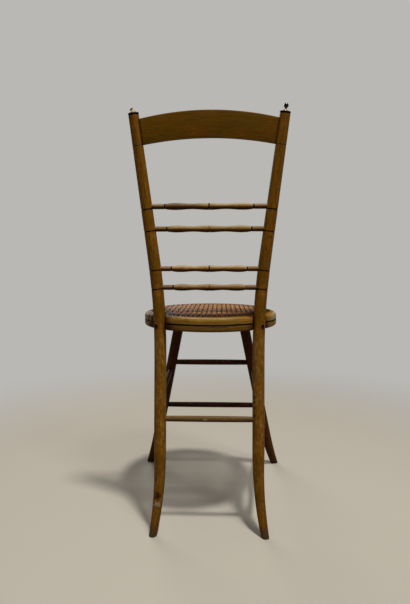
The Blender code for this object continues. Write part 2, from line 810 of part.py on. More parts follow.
def main():
    """Build the chair."""
    clear_scene()
    chair = new_group("faux_bamboo_high_chair")
    cutters = new_group("cutters")
    root = bpy.data.objects.new("chair_root", None)
    chair.objects.link(root)

    wood = finish("grained_wood", (0.107, 0.045, 0.005), 0.42)
    pale_wood = finish("worn_pale_wood", (0.250, 0.160, 0.060), 0.45)
    dark_wood = finish("ebonised_wood", (0.012, 0.006, 0.003), 0.40)
    straw = finish("cane", (0.250, 0.130, 0.070), 0.60)
    steel = finish("screw_steel", (0.350, 0.330, 0.300), 0.45, 1.0)

    posts = build_posts(chair, wood)
    build_crest(chair, cutters, wood, posts)
    build_spindles(chair, cutters, pale_wood, posts)
    ring = build_ring(chair, cutters, wood)
    legs = build_front_legs(chair, cutters, wood, ring)
    build_stretchers(chair, cutters, pale_wood, dark_wood, posts, legs)
    build_cane(chair, cutters, straw)
    build_fasteners(chair, cutters, steel, dark_wood, posts, ring)
    build_finials(chair, cutters, dark_wood, posts)
    trim_feet(cutters, list(posts.values()) + list(legs.values()))

    for group in (chair, cutters):
        for obj in group.objects:
            if obj is not root:
                obj.parent = root
    centre_on_footprint([obj for obj in chair.objects if obj is not root], root)


main()
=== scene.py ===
"""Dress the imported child's chair: turned faux bamboo, bent back posts and a round caned seat.

The chair faces -Y and its left is the sitter's left, +X. Lengths are in metres, in the frame
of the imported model. The finishes give the sizes of their patterns in millimetres.
"""

from __future__ import annotations

import logging
import math
import random
from contextlib import contextmanager
from dataclasses import dataclass, replace
from enum import Enum
from typing import Any, Iterator, NamedTuple, Sequence

import bmesh
import bpy
import numpy as np
from mathutils import Euler, Matrix, Vector


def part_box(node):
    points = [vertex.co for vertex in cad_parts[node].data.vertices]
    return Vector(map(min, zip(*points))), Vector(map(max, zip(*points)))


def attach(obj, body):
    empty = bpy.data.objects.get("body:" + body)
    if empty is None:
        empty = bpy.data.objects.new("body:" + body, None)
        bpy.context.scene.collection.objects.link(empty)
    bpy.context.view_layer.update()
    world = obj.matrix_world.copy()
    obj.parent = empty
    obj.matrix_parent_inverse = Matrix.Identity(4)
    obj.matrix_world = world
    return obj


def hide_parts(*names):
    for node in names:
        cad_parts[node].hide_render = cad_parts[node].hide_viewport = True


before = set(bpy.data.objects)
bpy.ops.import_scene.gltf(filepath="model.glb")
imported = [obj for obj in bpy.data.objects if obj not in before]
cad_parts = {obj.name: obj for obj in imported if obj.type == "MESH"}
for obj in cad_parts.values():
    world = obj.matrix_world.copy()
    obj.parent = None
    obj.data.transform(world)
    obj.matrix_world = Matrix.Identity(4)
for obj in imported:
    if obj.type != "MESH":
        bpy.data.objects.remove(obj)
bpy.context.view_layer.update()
LOG = logging.getLogger("caned_chair")
Socket = bpy.types.NodeSocket
Tree = bpy.types.NodeTree
Point = tuple[float, float, float]


class Side(Enum):
    """A side of the chair, by the sign of its X."""

    LEFT = 1
    RIGHT = -1

    @property
    def word(self) -> str:
        """The side's word in node names."""
        return self.name.lower()


class Weave(Enum):
    """A family of cane strands, by the direction that it runs in."""

    UPRIGHT = 90.0
    CROSS = 0.0
    RISING = 45.0
    FALLING = -45.0

    @property
    def tone(self) -> tuple[float, float]:
        """Range of tones of the family's strands, palest where they lie uppermost; the darker tones of the
        lower strands are partly painted shade.
        """
        return {Weave.UPRIGHT: (0.6, 1.0), Weave.CROSS: (0.4, 0.75)}.get(self, (0.1, 0.4))


# Materials

def linear(hex_colour: str) -> tuple[float, float, float, float]:
    """Turn an sRGB hex colour into linear RGBA.

    Args:
        hex_colour: Six hex digits after a hash sign.

    Returns:
        Red, green, blue and an alpha of one.
    """
    parts = [int(hex_colour[start:start + 2], 16) / 255 for start in (1, 3, 5)]
    red, green, blue = (
        part / 12.92 if part <= 0.04045 else ((part + 0.055) / 1.055) ** 2.4 for part in parts
    )
    return red, green, blue, 1.0


def add(
    tree: Tree,
    kind: str,
    inputs: dict[int | str, Any] | None = None,
    output: int | str = 0,
    **settings: Any,
) -> Socket:
    """Add a node with its settings and links.

    Args:
        tree: Node tree that gets the node.
        kind: Blender's name of the node type.
        inputs: Value or socket for each named or numbered input.
        output: Output to hand on.
        settings: Properties of the node.

    Returns:
        The chosen output socket.
    """
    node = tree.nodes.new(kind)
    for name, value in settings.items():
        setattr(node, name, value)
    for name, value in (inputs or {}).items():
        if isinstance(value, Socket):
            tree.links.new(value, node.inputs[name])
        else:
            node.inputs[name].default_value = value
    return node.outputs[output]


def blank_material(name: str) -> tuple[bpy.types.Material, Tree, bpy.types.Node]:
    """Make a material with a Principled shader.

    Args:
        name: Name of the material.

    Returns:
        The material, its node tree and its shader node.
    """
    material = bpy.data.materials.new(name)
    material.use_nodes = True
    return material, material.node_tree, material.node_tree.nodes["Principled BSDF"]


class Pattern(NamedTuple):
    """A pattern in a finish: size of its patches in millimetres, across and along the grain."""

    across: float
    along: float
    detail: float = 3.0
    bend: float = 0.0


class Layer(NamedTuple):
    """A colour laid over those before it, up to the most as a value goes from start to end."""

    value: Socket
    start: float
    end: float
    most: float
    colour: str


@dataclass(frozen=True)
class Finish:
    """A finish by the name of its material and the record's slot, and how every finish is laid."""

    name: str
    slot: str

    def build(self) -> bpy.types.Material:
        """Make the material, which each kind of finish does in its own way."""
        raise NotImplementedError

    def draw(self, tree: Tree, place: Socket, *patterns: Pattern) -> list[Socket]:
        """Draw patterns at sizes in millimetres.

        Args:
            tree: Node tree that gets the nodes.
            place: Position in metres, with the grain along its last axis.
            patterns: Patterns to draw.

        Returns:
            Noise from about 0.2 to 0.8 for each pattern.
        """
        drawn = []
        for across, along, detail, bend in patterns:
            scale = (1000.0 / across, 1000.0 / across, 1000.0 / along)
            scaled = add(tree, "ShaderNodeVectorMath", {0: place, 1: scale}, operation="MULTIPLY")
            noise = {"Vector": scaled, "Scale": 1.0, "Detail": detail, "Roughness": 0.55, "Distortion": bend}
            drawn.append(add(tree, "ShaderNodeTexNoise", noise))
        return drawn

    def lay(self, tree: Tree, shader: bpy.types.Node, ground: str, layers: Sequence[Layer]) -> None:
        """Lay the finish's colours over each other.

        Args:
            tree: Node tree that gets the nodes.
            shader: The material's shader.
            ground: Colour under all the layers.
            layers: Colours in the order that they are laid in.
        """
        shade = linear(ground)
        for value, start, end, most, colour in layers:
            limits = {"Value": value, "From Min": start, "From Max": end, "To Max": most}
            share = add(tree, "ShaderNodeMapRange", limits)
            mixed = {0: share, 6: shade, 7: linear(colour)}
            shade = add(tree, "ShaderNodeMix", mixed, 2, data_type="RGBA")
        tree.links.new(shade, shader.inputs["Base Color"])

    def texture(
        self, tree: Tree, shader: bpy.types.Node, gloss: dict[str, Any], relief: Socket,
        strength: float, depth: float,
    ) -> None:
        """Vary the finish's gloss and raise its relief.

        Args:
            tree: Node tree that gets the nodes.
            shader: The material's shader.
            gloss: Value that the roughness follows, with the ranges of both.
            relief: Height of the surface.
            strength: Share of the relief that shows.
            depth: Depth of the whole relief in metres.
        """
        tree.links.new(add(tree, "ShaderNodeMapRange", gloss), shader.inputs["Roughness"])
        bump = add(tree, "ShaderNodeBump", {"Height": relief, "Strength": strength, "Distance": depth})
        tree.links.new(bump, shader.inputs["Normal"])


@dataclass(frozen=True)
class GlazedBeech(Finish):
    """Turned beech under a stained glaze and a rubbed varnish.

    The glaze lies darker in the pores, so the eye sees streaks along the piece, broad clouds of
    warmer and greener brown, and pale places where hands have thinned it. Upward faces are
    rubbed, pale from bleaching and given a painted highlight, and undersides carry painted shade.
    Scored rings are filled with black.
    """

    deep: str
    body: str
    warm: str
    rubbed: str
    fleck: str
    # Colour of rubbed and chipped edges, and of the painted highlight on faces that point up
    worn: str
    shadowed: str = "#22140A"
    rub_range: tuple[float, float] = (1.11, 1.43)
    edge_share: float = 0.8
    pore_share: float = 0.0
    # Painted highlight on faces that point up, laid over some real bleaching
    top_share: float = 0.0
    top_range: tuple[float, float] = (0.60, 1.30)
    top_raggedness: float = 0.8
    # Painted shade on faces that point down
    under_share: float = 0.0
    under_range: tuple[float, float] = (-0.10, -0.80)
    raggedness: float = 0.7
    bare: str = "#8E866E"
    # Colour of dark stains, and of the painted shade that negative marks lay
    stain_and_shade: str = "#2A0D04"
    score_colour: str = "#100501"
    soil_colour: str = "#2A1A0B"
    soil_height: float = 0.036
    soil_raggedness: float = -0.15
    roughness: tuple[float, float] = (0.42, 0.60)
    specular: float = 0.05
    # Real beech has pores of 0.1 mm and flecks of 0.5 mm: both are drawn coarser, so that they show
    pores: Pattern = Pattern(1.6, 45.0, 4.0, 0.3)
    flecks: Pattern = Pattern(2.4, 9.0, 2.0)
    clouds: Pattern = Pattern(14.0, 60.0, 2.0)
    dents: Pattern = Pattern(7.0, 14.0, 3.0, 0.5)

    def build(self) -> bpy.types.Material:
        """Make the material from the piece's own grain, score, wear and mark.

        Returns:
            The material.
        """
        material, tree, shader = blank_material(self.name)
        grain = add(tree, "ShaderNodeAttribute", output="Vector", attribute_name="grain")
        score, wear, mark = (
            add(tree, "ShaderNodeAttribute", output="Fac", attribute_name=name)
            for name in ("score", "wear", "mark")
        )
        pores, clouds, flecks, dents = self.draw(
            tree, grain, self.pores, self.clouds, self.flecks, self.dents
        )
        normal = add(tree, "ShaderNodeNewGeometry", output="Normal")
        place = add(tree, "ShaderNodeTexCoord", output="Object")
        upward, height = (
            add(tree, "ShaderNodeSeparateXYZ", {0: vector}, "Z") for vector in (normal, place)
        )
        rubbing = add(tree, "ShaderNodeMath", {0: dents, 1: clouds}, operation="ADD")
        ragged = add(tree, "ShaderNodeMath", {0: dents, 1: 0.5}, operation="SUBTRACT")
        bleached_and_lit, chipped, marked, blackened, soiled = (
            add(tree, "ShaderNodeMath", dict(enumerate(terms)), operation="MULTIPLY_ADD")
            for terms in (
                (dents, self.top_raggedness, upward),
                (ragged, self.raggedness, wear),
                (ragged, mark, mark),
                (ragged, 1.0, score),
                (ragged, self.soil_raggedness, height),
            )
        )
        inked = add(tree, "ShaderNodeMath", {0: blackened, 1: score}, operation="MULTIPLY")
        self.lay(tree, shader, self.deep, (
            Layer(pores, 0.32, 0.62, 1.0, self.body),
            Layer(clouds, 0.42, 0.68, 0.75, self.warm),
            Layer(rubbing, *self.rub_range, 0.85, self.rubbed),
            Layer(flecks, 0.54, 0.70, 0.7, self.fleck),
            Layer(flecks, 0.44, 0.30, 0.6, self.deep),
            # Painted highlight on upward faces, with some real bleaching
            Layer(bleached_and_lit, *self.top_range, self.top_share, self.worn),
            Layer(chipped, 0.45, 0.95, self.edge_share, self.worn),
            Layer(pores, 0.50, 0.32, self.pore_share, self.deep),
            # Painted shade on downward faces
            Layer(upward, *self.under_range, self.under_share, self.shadowed),
            Layer(soiled, self.soil_height, 0.0, 0.85, self.soil_colour),
            Layer(marked, 0.15, 0.7, 0.9, self.bare),
            # Dark stains, and painted shade where a mark stands for it
            Layer(marked, -0.15, -0.7, 0.95, self.stain_and_shade),
            Layer(inked, 0.25, 0.6, 1.0, self.score_colour),
        ))
        smooth, rough = self.roughness
        gloss = {"Value": dents, "From Min": 0.3, "From Max": 0.7, "To Min": smooth, "To Max": rough}
        relief = add(tree, "ShaderNodeMath", {0: pores, 1: dents}, operation="ADD")
        self.texture(tree, shader, gloss, relief, strength=0.35, depth=0.0006)
        shader.inputs["IOR"].default_value = 1.5
        shader.inputs["Specular IOR Level"].default_value = self.specular
        return material


@dataclass(frozen=True)
class SplitCane(Finish):
    """Split rattan cane, woven wet and left bare.

    The skin side is smooth and slightly glossy. The strands that carry the sitter are polished
    to a pale tan, those under them are redder and darker, partly by painted shade, and each has
    its own tone, fine lines along it and darker stains. Where strands go down into the holes they
    are black, dusty and in painted shade.
    """

    name: str = "split_rattan_cane_woven"
    slot: str = "cane"
    tan: str = "#94704A"
    brown: str = "#5E3820"
    stain: str = "#3A2015"
    dust_and_shade: str = "#140B07"
    specular: float = 0.06
    lines: Pattern = Pattern(0.5, 20.0)
    stains: Pattern = Pattern(9.0, 9.0)

    def build(self) -> bpy.types.Material:
        """Make the material from each strand's grain and tone.

        Returns:
            The material.
        """
        material, tree, shader = blank_material(self.name)
        grain = add(tree, "ShaderNodeAttribute", output="Vector", attribute_name="grain")
        tone = add(tree, "ShaderNodeAttribute", output="Fac", attribute_name="tone")
        place = add(tree, "ShaderNodeTexCoord", output="Object")
        lines, = self.draw(tree, grain, self.lines)
        stains, = self.draw(tree, place, self.stains)
        self.lay(tree, shader, self.brown, (
            Layer(tone, 0.0, 1.0, 1.0, self.tan),
            Layer(stains, 0.5, 0.75, 0.6, self.brown),
            Layer(lines, 0.55, 0.75, 0.5, self.stain),
            # Black of dusty ends and painted shade in the holes
            Layer(tone, -0.05, -0.5, 1.0, self.dust_and_shade),
        ))
        gloss = {"Value": lines, "To Min": 0.38, "To Max": 0.6}
        self.texture(tree, shader, gloss, lines, strength=0.3, depth=0.0003)
        shader.inputs["Specular IOR Level"].default_value = self.specular
        return material


@dataclass(frozen=True)
class BlackWax(Finish):
    """Black filling wax, pressed into the screw holes: dull, almost black and slightly dimpled."""

    name: str = "black_filling_wax"
    slot: str = "black_plug"
    black: str = "#0D0907"
    dusty: str = "#2A211B"
    specular: float = 0.03
    dimples: Pattern = Pattern(1.5, 1.5)

    def build(self) -> bpy.types.Material:
        """Make the material in object space.

        Returns:
            The material.
        """
        material, tree, shader = blank_material(self.name)
        place = add(tree, "ShaderNodeTexCoord", output="Object")
        dimples, = self.draw(tree, place, self.dimples)
        self.lay(tree, shader, self.black, [Layer(dimples, 0.5, 0.8, 1.0, self.dusty)])
        gloss = {"Value": dimples, "To Min": 0.45, "To Max": 0.75}
        self.texture(tree, shader, gloss, dimples, strength=0.4, depth=0.0003)
        shader.inputs["Specular IOR Level"].default_value = self.specular
        return material


@dataclass(frozen=True)
class ScrewSteel(Finish):
    """Drawn steel of the wood screws: grey metal with spots of brown rust, which are dull."""

    name: str = "drawn_steel_rust_spotted"
    slot: str = "screw_steel"
    steel: str = "#8F8A83"
    rust: str = "#5A351F"
    spots: Pattern = Pattern(1.6, 1.6, 4.0)

    def build(self) -> bpy.types.Material:
        """Make the material in object space.

        Returns:
            The material.
        """
        material, tree, shader = blank_material(self.name)
        place = add(tree, "ShaderNodeTexCoord", output="Object")
        spots, = self.draw(tree, place, self.spots)
        rusty = {"Value": spots, "From Min": 0.5, "From Max": 0.62}
        self.lay(tree, shader, self.steel, [Layer(spots, 0.5, 0.62, 1.0, self.rust)])
        gloss = {**rusty, "To Min": 0.35, "To Max": 0.8}
        self.texture(tree, shader, gloss, spots, strength=0.4, depth=0.0002)
        metal = add(tree, "ShaderNodeMapRange", {**rusty, "To Min": 1.0, "To Max": 0.0})
        tree.links.new(metal, shader.inputs["Metallic"])
        return material


# Back posts: warm olive brown with dark streaks along them
GLAZED = GlazedBeech(
    "glazed_beech_turned", "grained_wood",
    deep="#3E2602", body="#5C3D05", warm="#663D04", rubbed="#70521A", fleck="#744108", worn="#8A6A38",
)
# Crest rail: a deeper and greener brown, in broader clouds
CREST = GlazedBeech(
    "glazed_beech_sawn_board", "crest_wood",
    deep="#3A2502", body="#4E3502", warm="#543102", rubbed="#5A4008", fleck="#563202", worn="#6A4C20",
    stain_and_shade="#2C1602", rub_range=(1.17, 1.49), edge_share=0.4, specular=0.04,
    clouds=Pattern(22.0, 60.0, 2.0),
)
# Seat ring: paler and dustier, rubbed along its rim where a painted highlight lies too, with painted shade
# below
SEAT = GlazedBeech(
    "glazed_beech_bent_ring", "seat_wood",
    deep="#452F08", body="#70521E", warm="#6C4C1A", rubbed="#80632E", fleck="#765012", worn="#8A725A",
    under_share=0.6, raggedness=0.9, specular=0.03,
)
# Spindles: pale from bleaching and a painted highlight on top, painted shade below, and streaks left in the
# pores
RUBBED = GlazedBeech(
    "rubbed_beech_turned", "worn_pale_wood",
    deep="#3E2407", body="#6A4A16", warm="#684312", rubbed="#7C5E28", fleck="#704614", worn="#8E7D5A",
    shadowed="#2A1304", rub_range=(1.08, 1.40), pore_share=0.5, top_share=0.95, top_range=(0.33, 1.10),
    under_share=0.95, under_range=(0.05, -0.55),
)
# Rear stretcher: a dull grey brown, little rubbed, with a faint painted highlight on top and painted shade
# below
STRETCHER = GlazedBeech(
    "rubbed_beech_rung", "worn_pale_wood",
    deep="#352412", body="#4E3A1C", warm="#4C361A", rubbed="#60492A", fleck="#5A3E1E", worn="#7C6642",
    top_share=0.2, under_share=0.95,
)
# Front legs and side stretchers: a darker copy of the glaze, as painted shade of the seat, with painted
# shade on undersides
SHADED = GlazedBeech(
    "glazed_beech_dark_leg", "grained_wood",
    deep="#2C1604", body="#4A2C0A", warm="#4E2B0A", rubbed="#5E401C", fleck="#52300C", worn="#74562E",
    under_share=0.6, specular=0.03,
)
# Front rails and the broken finial: brown black, rubbed to a reddish brown, with a faint painted highlight
# on top
EBONISED = GlazedBeech(
    "ebonised_beech_turned", "ebonised_wood",
    deep="#110602", body="#2A1409", warm="#401B08", rubbed="#563322", fleck="#46200D", worn="#54382A",
    rub_range=(1.14, 1.46), top_share=0.2,
)
# Ball finial: black and glossy from handling
POLISHED = GlazedBeech(
    "ebonised_beech_polished", "ebonised_wood",
    deep="#060302", body="#0E0704", warm="#160A05", rubbed="#1E120A", fleck="#180B05", worn="#2A1A10",
    rub_range=(1.20, 1.52), roughness=(0.14, 0.22), specular=0.22,
)
CANE = SplitCane()
WAX = BlackWax()
STEEL = ScrewSteel()


# Meshes

@dataclass(frozen=True)
class Section:
    """One round cross-section of a member, with its blackening, its mark of stain and painted shade, and its
    wear.
    """

    centre: Vector
    radius: float
    along: float
    score: float = 0.0
    mark: float = 0.0
    wear: float = 0.0


@dataclass(frozen=True)
class Spot:
    """A small stain, bare patch or hole in a member's surface.

    A mark above nothing is bare, pale wood, and one below it is a dark stain.
    """

    place: Vector
    reach: float
    mark: float
    sink: float = 0.0
    stretch: float = 1.0

    def share_at(self, verts: np.ndarray) -> np.ndarray:
        """Work out how much of the spot each point has.

        Args:
            verts: Points, one row each.

        Returns:
            Shares, from nothing to one at the spot's middle.
        """
        off = (verts - np.array(self.place)) / self.reach
        off[:, 2] /= self.stretch
        return np.exp(-(off ** 2).sum(axis=1))

    def stations(self, rows: int = 9) -> list[float]:
        """Heights close enough to draw the spot."""
        return (self.place.z + np.linspace(-2.0, 2.0, rows) * self.reach).tolist()


def stand(name: str, data: bpy.types.ID) -> bpy.types.Object:
    """Make an object and link it into the scene.

    Args:
        name: Name of the object.
        data: Its mesh, lamp or camera.

    Returns:
        The object.
    """
    thing = bpy.data.objects.new(name, data)
    bpy.context.scene.collection.objects.link(thing)
    return thing


@contextmanager
def opened(mesh: bpy.types.Mesh) -> Iterator[bmesh.types.BMesh]:
    """Open a mesh for editing, and write it back afterwards.

    Args:
        mesh: Mesh to edit.

    Yields:
        The open mesh.
    """
    form = bmesh.new()
    form.from_mesh(mesh)
    yield form
    form.to_mesh(mesh)
    form.free()


def write_values(mesh: bpy.types.Mesh, values: dict[str, np.ndarray], domain: str = "POINT") -> None:
    """Write numbers or vectors into a mesh for its finish to read.

    Args:
        mesh: Mesh that gets them.
        values: Number or vector at each point or corner, by attribute name.
        domain: Blender's word for where they sit.
    """
    for key, column in values.items():
        kind, field = ("FLOAT_VECTOR", "vector") if column.ndim == 2 else ("FLOAT", "value")
        layer = mesh.attributes.new(key, kind, domain)
        layer.data.foreach_set(field, column.astype(np.float32).ravel())


def new_piece(name: str, verts: np.ndarray, faces: list, values: dict[str, np.ndarray]) -> bpy.types.Object:
    """Make a mesh object with values at its points.

    Args:
        name: Name of the piece.
        verts: Points, one row each.
        faces: Point numbers of each face.
        values: Number or vector at each point, by attribute name.

    Returns:
        The linked object.
    """
    mesh = bpy.data.meshes.new(name)
    mesh.from_pydata(verts.tolist(), [], faces)
    write_values(mesh, values)
    return stand(name, mesh)


def skin(rows: int, sides: int, start: int = 0, closed: bool = False) -> list[tuple[int, ...]]:
    """List the faces of a tube of points.

    Args:
        rows: Rows of points along the tube.
        sides: Points round it in each row.
        start: Number of its first point.
        closed: Whether the last row meets the first again. Otherwise the ends are capped.

    Returns:
        Point numbers of each face.
    """
    faces = []
    for row in range(rows if closed else rows - 1):
        low = start + row * sides
        high = start + (row + 1) % rows * sides
        for spot in range(sides):
            other = (spot + 1) % sides
            faces.append((low + spot, low + other, high + other, high + spot))
    if not closed:
        last = start + (rows - 1) * sides
        faces.append(tuple(range(start, start + sides))[::-1])
        faces.append(tuple(range(last, last + sides)))
    return faces


def face_out(piece: bpy.types.Object, sharp: float = 38.0) -> None:
    """Turn a closed mesh's faces outward and shade it smooth between its sharp edges.

    Args:
        piece: Mesh object.
        sharp: Angle in degrees above which an edge stays sharp.
    """
    with opened(piece.data) as form:
        bmesh.ops.recalc_face_normals(form, faces=form.faces)
    piece.data.shade_smooth()
    piece.data.set_sharp_from_angle(angle=math.radians(sharp))


def carried_frames(centres: np.ndarray) -> tuple[np.ndarray, np.ndarray]:
    """Carry two directions along a line without twist.

    Args:
        centres: Points of the line.

    Returns:
        Two unit directions across the line at each point.
    """
    ways = np.gradient(centres, axis=0)
    ways /= np.linalg.norm(ways, axis=1)[:, None]
    first = np.zeros(3)
    first[int(np.argmin(np.abs(ways[0])))] = 1.0
    across = []
    for way in ways:
        first = first - way * (first @ way)
        first = first / np.linalg.norm(first)
        across.append(first)
    across = np.array(across)
    return across, np.cross(ways, across)


def round_member(
    name: str, sections: Sequence[Section], sides: int = 40, spots: Sequence[Spot] = ()
) -> bpy.types.Object:
    """Skin a round member over its cross-sections and close its ends.

    Args:
        name: Name of the piece.
        sections: Cross-sections in order along the member.
        sides: Facets round it.
        spots: Stains and holes in its surface.

    Returns:
        The piece, with its grain, score, mark and wear.
    """
    centres = np.array([tuple(section.centre) for section in sections])
    radii = np.array([section.radius for section in sections])
    across, beside = carried_frames(centres)
    turns = np.linspace(0.0, 2 * math.pi, sides, endpoint=False)
    cos, sin = np.cos(turns), np.sin(turns)
    spokes = cos[None, :, None] * across[:, None, :] + sin[None, :, None] * beside[:, None, :]
    verts = (centres[:, None, :] + spokes * radii[:, None, None]).reshape(-1, 3)
    along = np.array([section.along for section in sections])
    grain = np.stack(
        [np.outer(radii, cos), np.outer(radii, sin), np.repeat(along[:, None], sides, 1)], axis=2
    ).reshape(-1, 3)
    values = {
        key: np.repeat([getattr(section, key) for section in sections], sides)
        for key in ("score", "mark", "wear")
    }
    inward = -spokes.reshape(-1, 3)
    for spot in spots:
        share = spot.share_at(verts)
        values["mark"] = values["mark"] + spot.mark * share
        verts = verts + inward * (spot.sink * share)[:, None]
    piece = new_piece(name, verts, skin(len(sections), sides), {"grain": grain, **values})
    face_out(piece)
    return piece


def cut_flat(piece: bpy.types.Object, place: Vector, normal: Vector) -> None:
    """Cut a piece with a plane and close the cut.

    Args:
        piece: Closed mesh object.
        place: Point on the plane.
        normal: Direction of the side that stays.
    """
    with opened(piece.data) as form:
        everything = form.verts[:] + form.edges[:] + form.faces[:]
        bmesh.ops.bisect_plane(form, geom=everything, plane_co=place, plane_no=normal, clear_inner=True)
        rim = [edge for edge in form.edges if edge.is_boundary]
        bmesh.ops.holes_fill(form, edges=rim)
    face_out(piece)


@dataclass(frozen=True)
class Scoring:
    """A ring scored with the lathe's point and blackened."""

    width: float = 0.0025
    depth: float = 0.0008
    spread: float = 0.0009
    rows: int = 13

    def depth_at(self, off: np.ndarray) -> np.ndarray:
        """Depth of the cut at a distance from the ring."""
        return self.depth * np.clip(1.0 - (2 * off / self.width) ** 2, 0.0, 1.0)

    def ink_at(self, off: np.ndarray) -> np.ndarray:
        """How black the surface is at a distance from the ring."""
        return np.clip(1.0 - (np.abs(off) - self.width / 2) / self.spread, 0.0, 1.0)

    def stations(self, ring: float) -> list[float]:
        """Stations close enough to draw the ring."""
        reach = self.width / 2 + self.spread
        return (ring + np.linspace(-reach, reach, self.rows)).tolist()


@dataclass(frozen=True)
class Turning:
    """A straight turned piece: radii at lengths along it, eased between, and its scored rings."""

    knots: Sequence[tuple[float, float]]
    rings: Sequence[float] = ()
    inks: Sequence[float] = ()
    ease: float = 0.006
    step: float = 0.0025
    scoring: Scoring = Scoring()

    def sections(self, start: Vector, way: Vector) -> list[Section]:
        """Place the piece's cross-sections.

        Args:
            start: Point where the piece begins.
            way: Unit direction that it runs in.

        Returns:
            Its cross-sections in order.
        """
        lengths = np.array([along for along, _ in self.knots])
        radii = np.array([radius for _, radius in self.knots])
        count = math.ceil((lengths[-1] - lengths[0]) / self.step)
        stations = np.linspace(lengths[0], lengths[-1], count + 1).tolist()
        for ring in self.rings:
            stations += self.scoring.stations(ring)
        stations = np.unique(np.round(stations, 6))
        window = np.linspace(-0.5, 0.5, 9)[:, None] * self.ease
        size = np.interp(stations[None, :] + window, lengths, radii).mean(axis=0)
        ink = np.zeros_like(stations)
        for ring, strength in zip(self.rings, self.inks):
            size = size - self.scoring.depth_at(stations - ring)
            ink = np.maximum(ink, strength * self.scoring.ink_at(stations - ring))
        return [
            Section(start + way * along, radius, along, black)
            for along, radius, black in zip(stations.tolist(), size.tolist(), ink.tolist())
        ]


# Chair

@dataclass(frozen=True)
class ChairLines:
    """Axes and thicknesses of the uprights, which the rest of the chair is fitted to."""

    seat_axis: float
    seat_top: float
    ring_bottom: float
    # Back posts
    post_top: float = 0.9505
    leg_half_spacing: float = 0.1140
    post_setback: float = 0.1207
    bend_start: float = 0.3750
    bend_length: float = 0.3000
    back_splay: float = 0.1180
    back_rake: float = 0.1050
    leg_rake: float = 0.1000
    post_size: float = 0.0140
    post_top_size: float = 0.0114
    taper_fullness: float = 0.85
    rear_foot_size: float = 0.0090
    rear_taper_height: float = 0.1850
    rear_flare_height: float = 0.1650
    rear_flare_out: float = 0.0150
    rear_flare_back: float = 0.0080
    top_taper_rise: float = 0.0900
    # Front legs
    leg_circle: float = 0.1470
    front_bearing: float = 36.3
    front_splay_out: float = 0.2105
    front_splay_forward: float = 0.2500
    front_leg_size: float = 0.0140
    front_foot_size: float = 0.0104
    front_flare_height: float = 0.1150
    front_flare_out: float = 0.0085
    front_flare_forward: float = 0.0060
    # Sockets and screws
    socket_web: float = 0.0018
    screw_bearing: float = 33.0

    def bend_travel(self, height: float) -> float:
        """Work out the height gained above the bend, counted in full only past its end.

        Args:
            height: Height above the floor.

        Returns:
            The height gained.
        """
        share = min(max((height - self.bend_start) / self.bend_length, 0.0), 1.0)
        inside = self.bend_length * (share ** 3 - share ** 4 / 2)
        return inside + max(height - self.bend_start - self.bend_length, 0.0)

    def post_axis(self, height: float, side: Side) -> Vector:
        """Find a point on a back post's axis.

        Args:
            height: Its height above the floor.
            side: Side of the chair.

        Returns:
            The point.
        """
        sweep = max((self.rear_flare_height - height) / self.rear_flare_height, 0.0) ** 2
        travel = self.bend_travel(height)
        across = self.leg_half_spacing + self.back_splay * travel + self.rear_flare_out * sweep
        behind = self.post_setback - self.leg_rake * (height - self.bend_start)
        behind += (self.leg_rake + self.back_rake) * travel + self.rear_flare_back * sweep
        return Vector((side.value * across, self.seat_axis + behind, height))

    def post_radius(self, height: float) -> float:
        """Work out the radius of a back post, full at the seat and slimmer at both ends.

        Args:
            height: Height above the floor.

        Returns:
            The radius.
        """
        if height < self.rear_taper_height:
            share = (max(height, 0.0) / self.rear_taper_height) ** self.taper_fullness
            return self.rear_foot_size + (self.post_size - self.rear_foot_size) * share
        taper_start = self.seat_top + self.top_taper_rise
        share = max(height - taper_start, 0.0) / (self.post_top - taper_start)
        return self.post_size + (self.post_top_size - self.post_size) * share

    def leg_axis(self, height: float, side: Side) -> Vector:
        """Find a point on a front leg's axis.

        Args:
            height: Its height above the floor.
            side: Side of the chair.

        Returns:
            The point.
        """
        bearing = math.radians(self.front_bearing)
        drop = self.ring_bottom - height
        sweep = max((self.front_flare_height - height) / self.front_flare_height, 0.0) ** 2
        across = self.leg_circle * math.sin(bearing)
        across += self.front_splay_out * drop + self.front_flare_out * sweep
        ahead = self.leg_circle * math.cos(bearing)
        ahead += self.front_splay_forward * drop + self.front_flare_forward * sweep
        return Vector((side.value * across, self.seat_axis - ahead, height))

    def leg_radius(self, height: float) -> float:
        """Work out the radius of a front leg, slimmer at the foot.

        Args:
            height: Height above the floor.

        Returns:
            The radius.
        """
        share = min(max(height, 0.0) / self.front_flare_height, 1.0)
        swell = self.front_leg_size - self.front_foot_size
        return self.front_foot_size + swell * math.sin(share * math.pi / 2)


class Workshop:
    """Finishes that are made once, and the dressing of each piece with its finish."""

    def __init__(self) -> None:
        """Start with no finish made."""
        self.made: dict[str, bpy.types.Material] = {}

    def cover(self, thing: bpy.types.Object, finish: Finish) -> None:
        """Cover an object with a finish, whose material is made at its first use.

        Args:
            thing: Mesh object.
            finish: Finish that covers it.
        """
        if finish.name not in self.made:
            self.made[finish.name] = finish.build()
        thing.data.materials.clear()
        thing.data.materials.append(self.made[finish.name])
        LOG.info("%s: %s, %d faces", thing.name, finish.name, len(thing.data.polygons))

    def dress(self, piece: bpy.types.Object, finish: Finish, node: str) -> None:
        """Give a piece its finish and let it stand for a CAD node.

        Args:
            piece: Mesh object.
            finish: Finish that covers it.
            node: CAD node that it replaces.
        """
        self.cover(piece, finish)
        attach(piece, "root")
        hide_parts(node)


class Spindle(NamedTuple):
    """One spindle of the back: its place, its scored rings from right to left, and its own tone."""

    word: str
    rise: float
    plain_end: float
    ring_drop: float
    inks: tuple[float, float, float]
    # Colour of its rubbed top, which carries the painted highlight
    worn: str
    # How much darker its left half grows, from the middle out
    stain: float = 0.0


class Scar(NamedTuple):
    """Old damage of a post: its height, its bearing from straight behind in degrees, and its look."""

    height: float
    bearing: float
    reach: float
    mark: float
    sink: float
    stretch: float


class Step(NamedTuple):
    """A step of a finial: length along it, radius, mark and share of its lean."""

    along: float
    radius: float
    mark: float = 0.0
    lean: float = 0.0


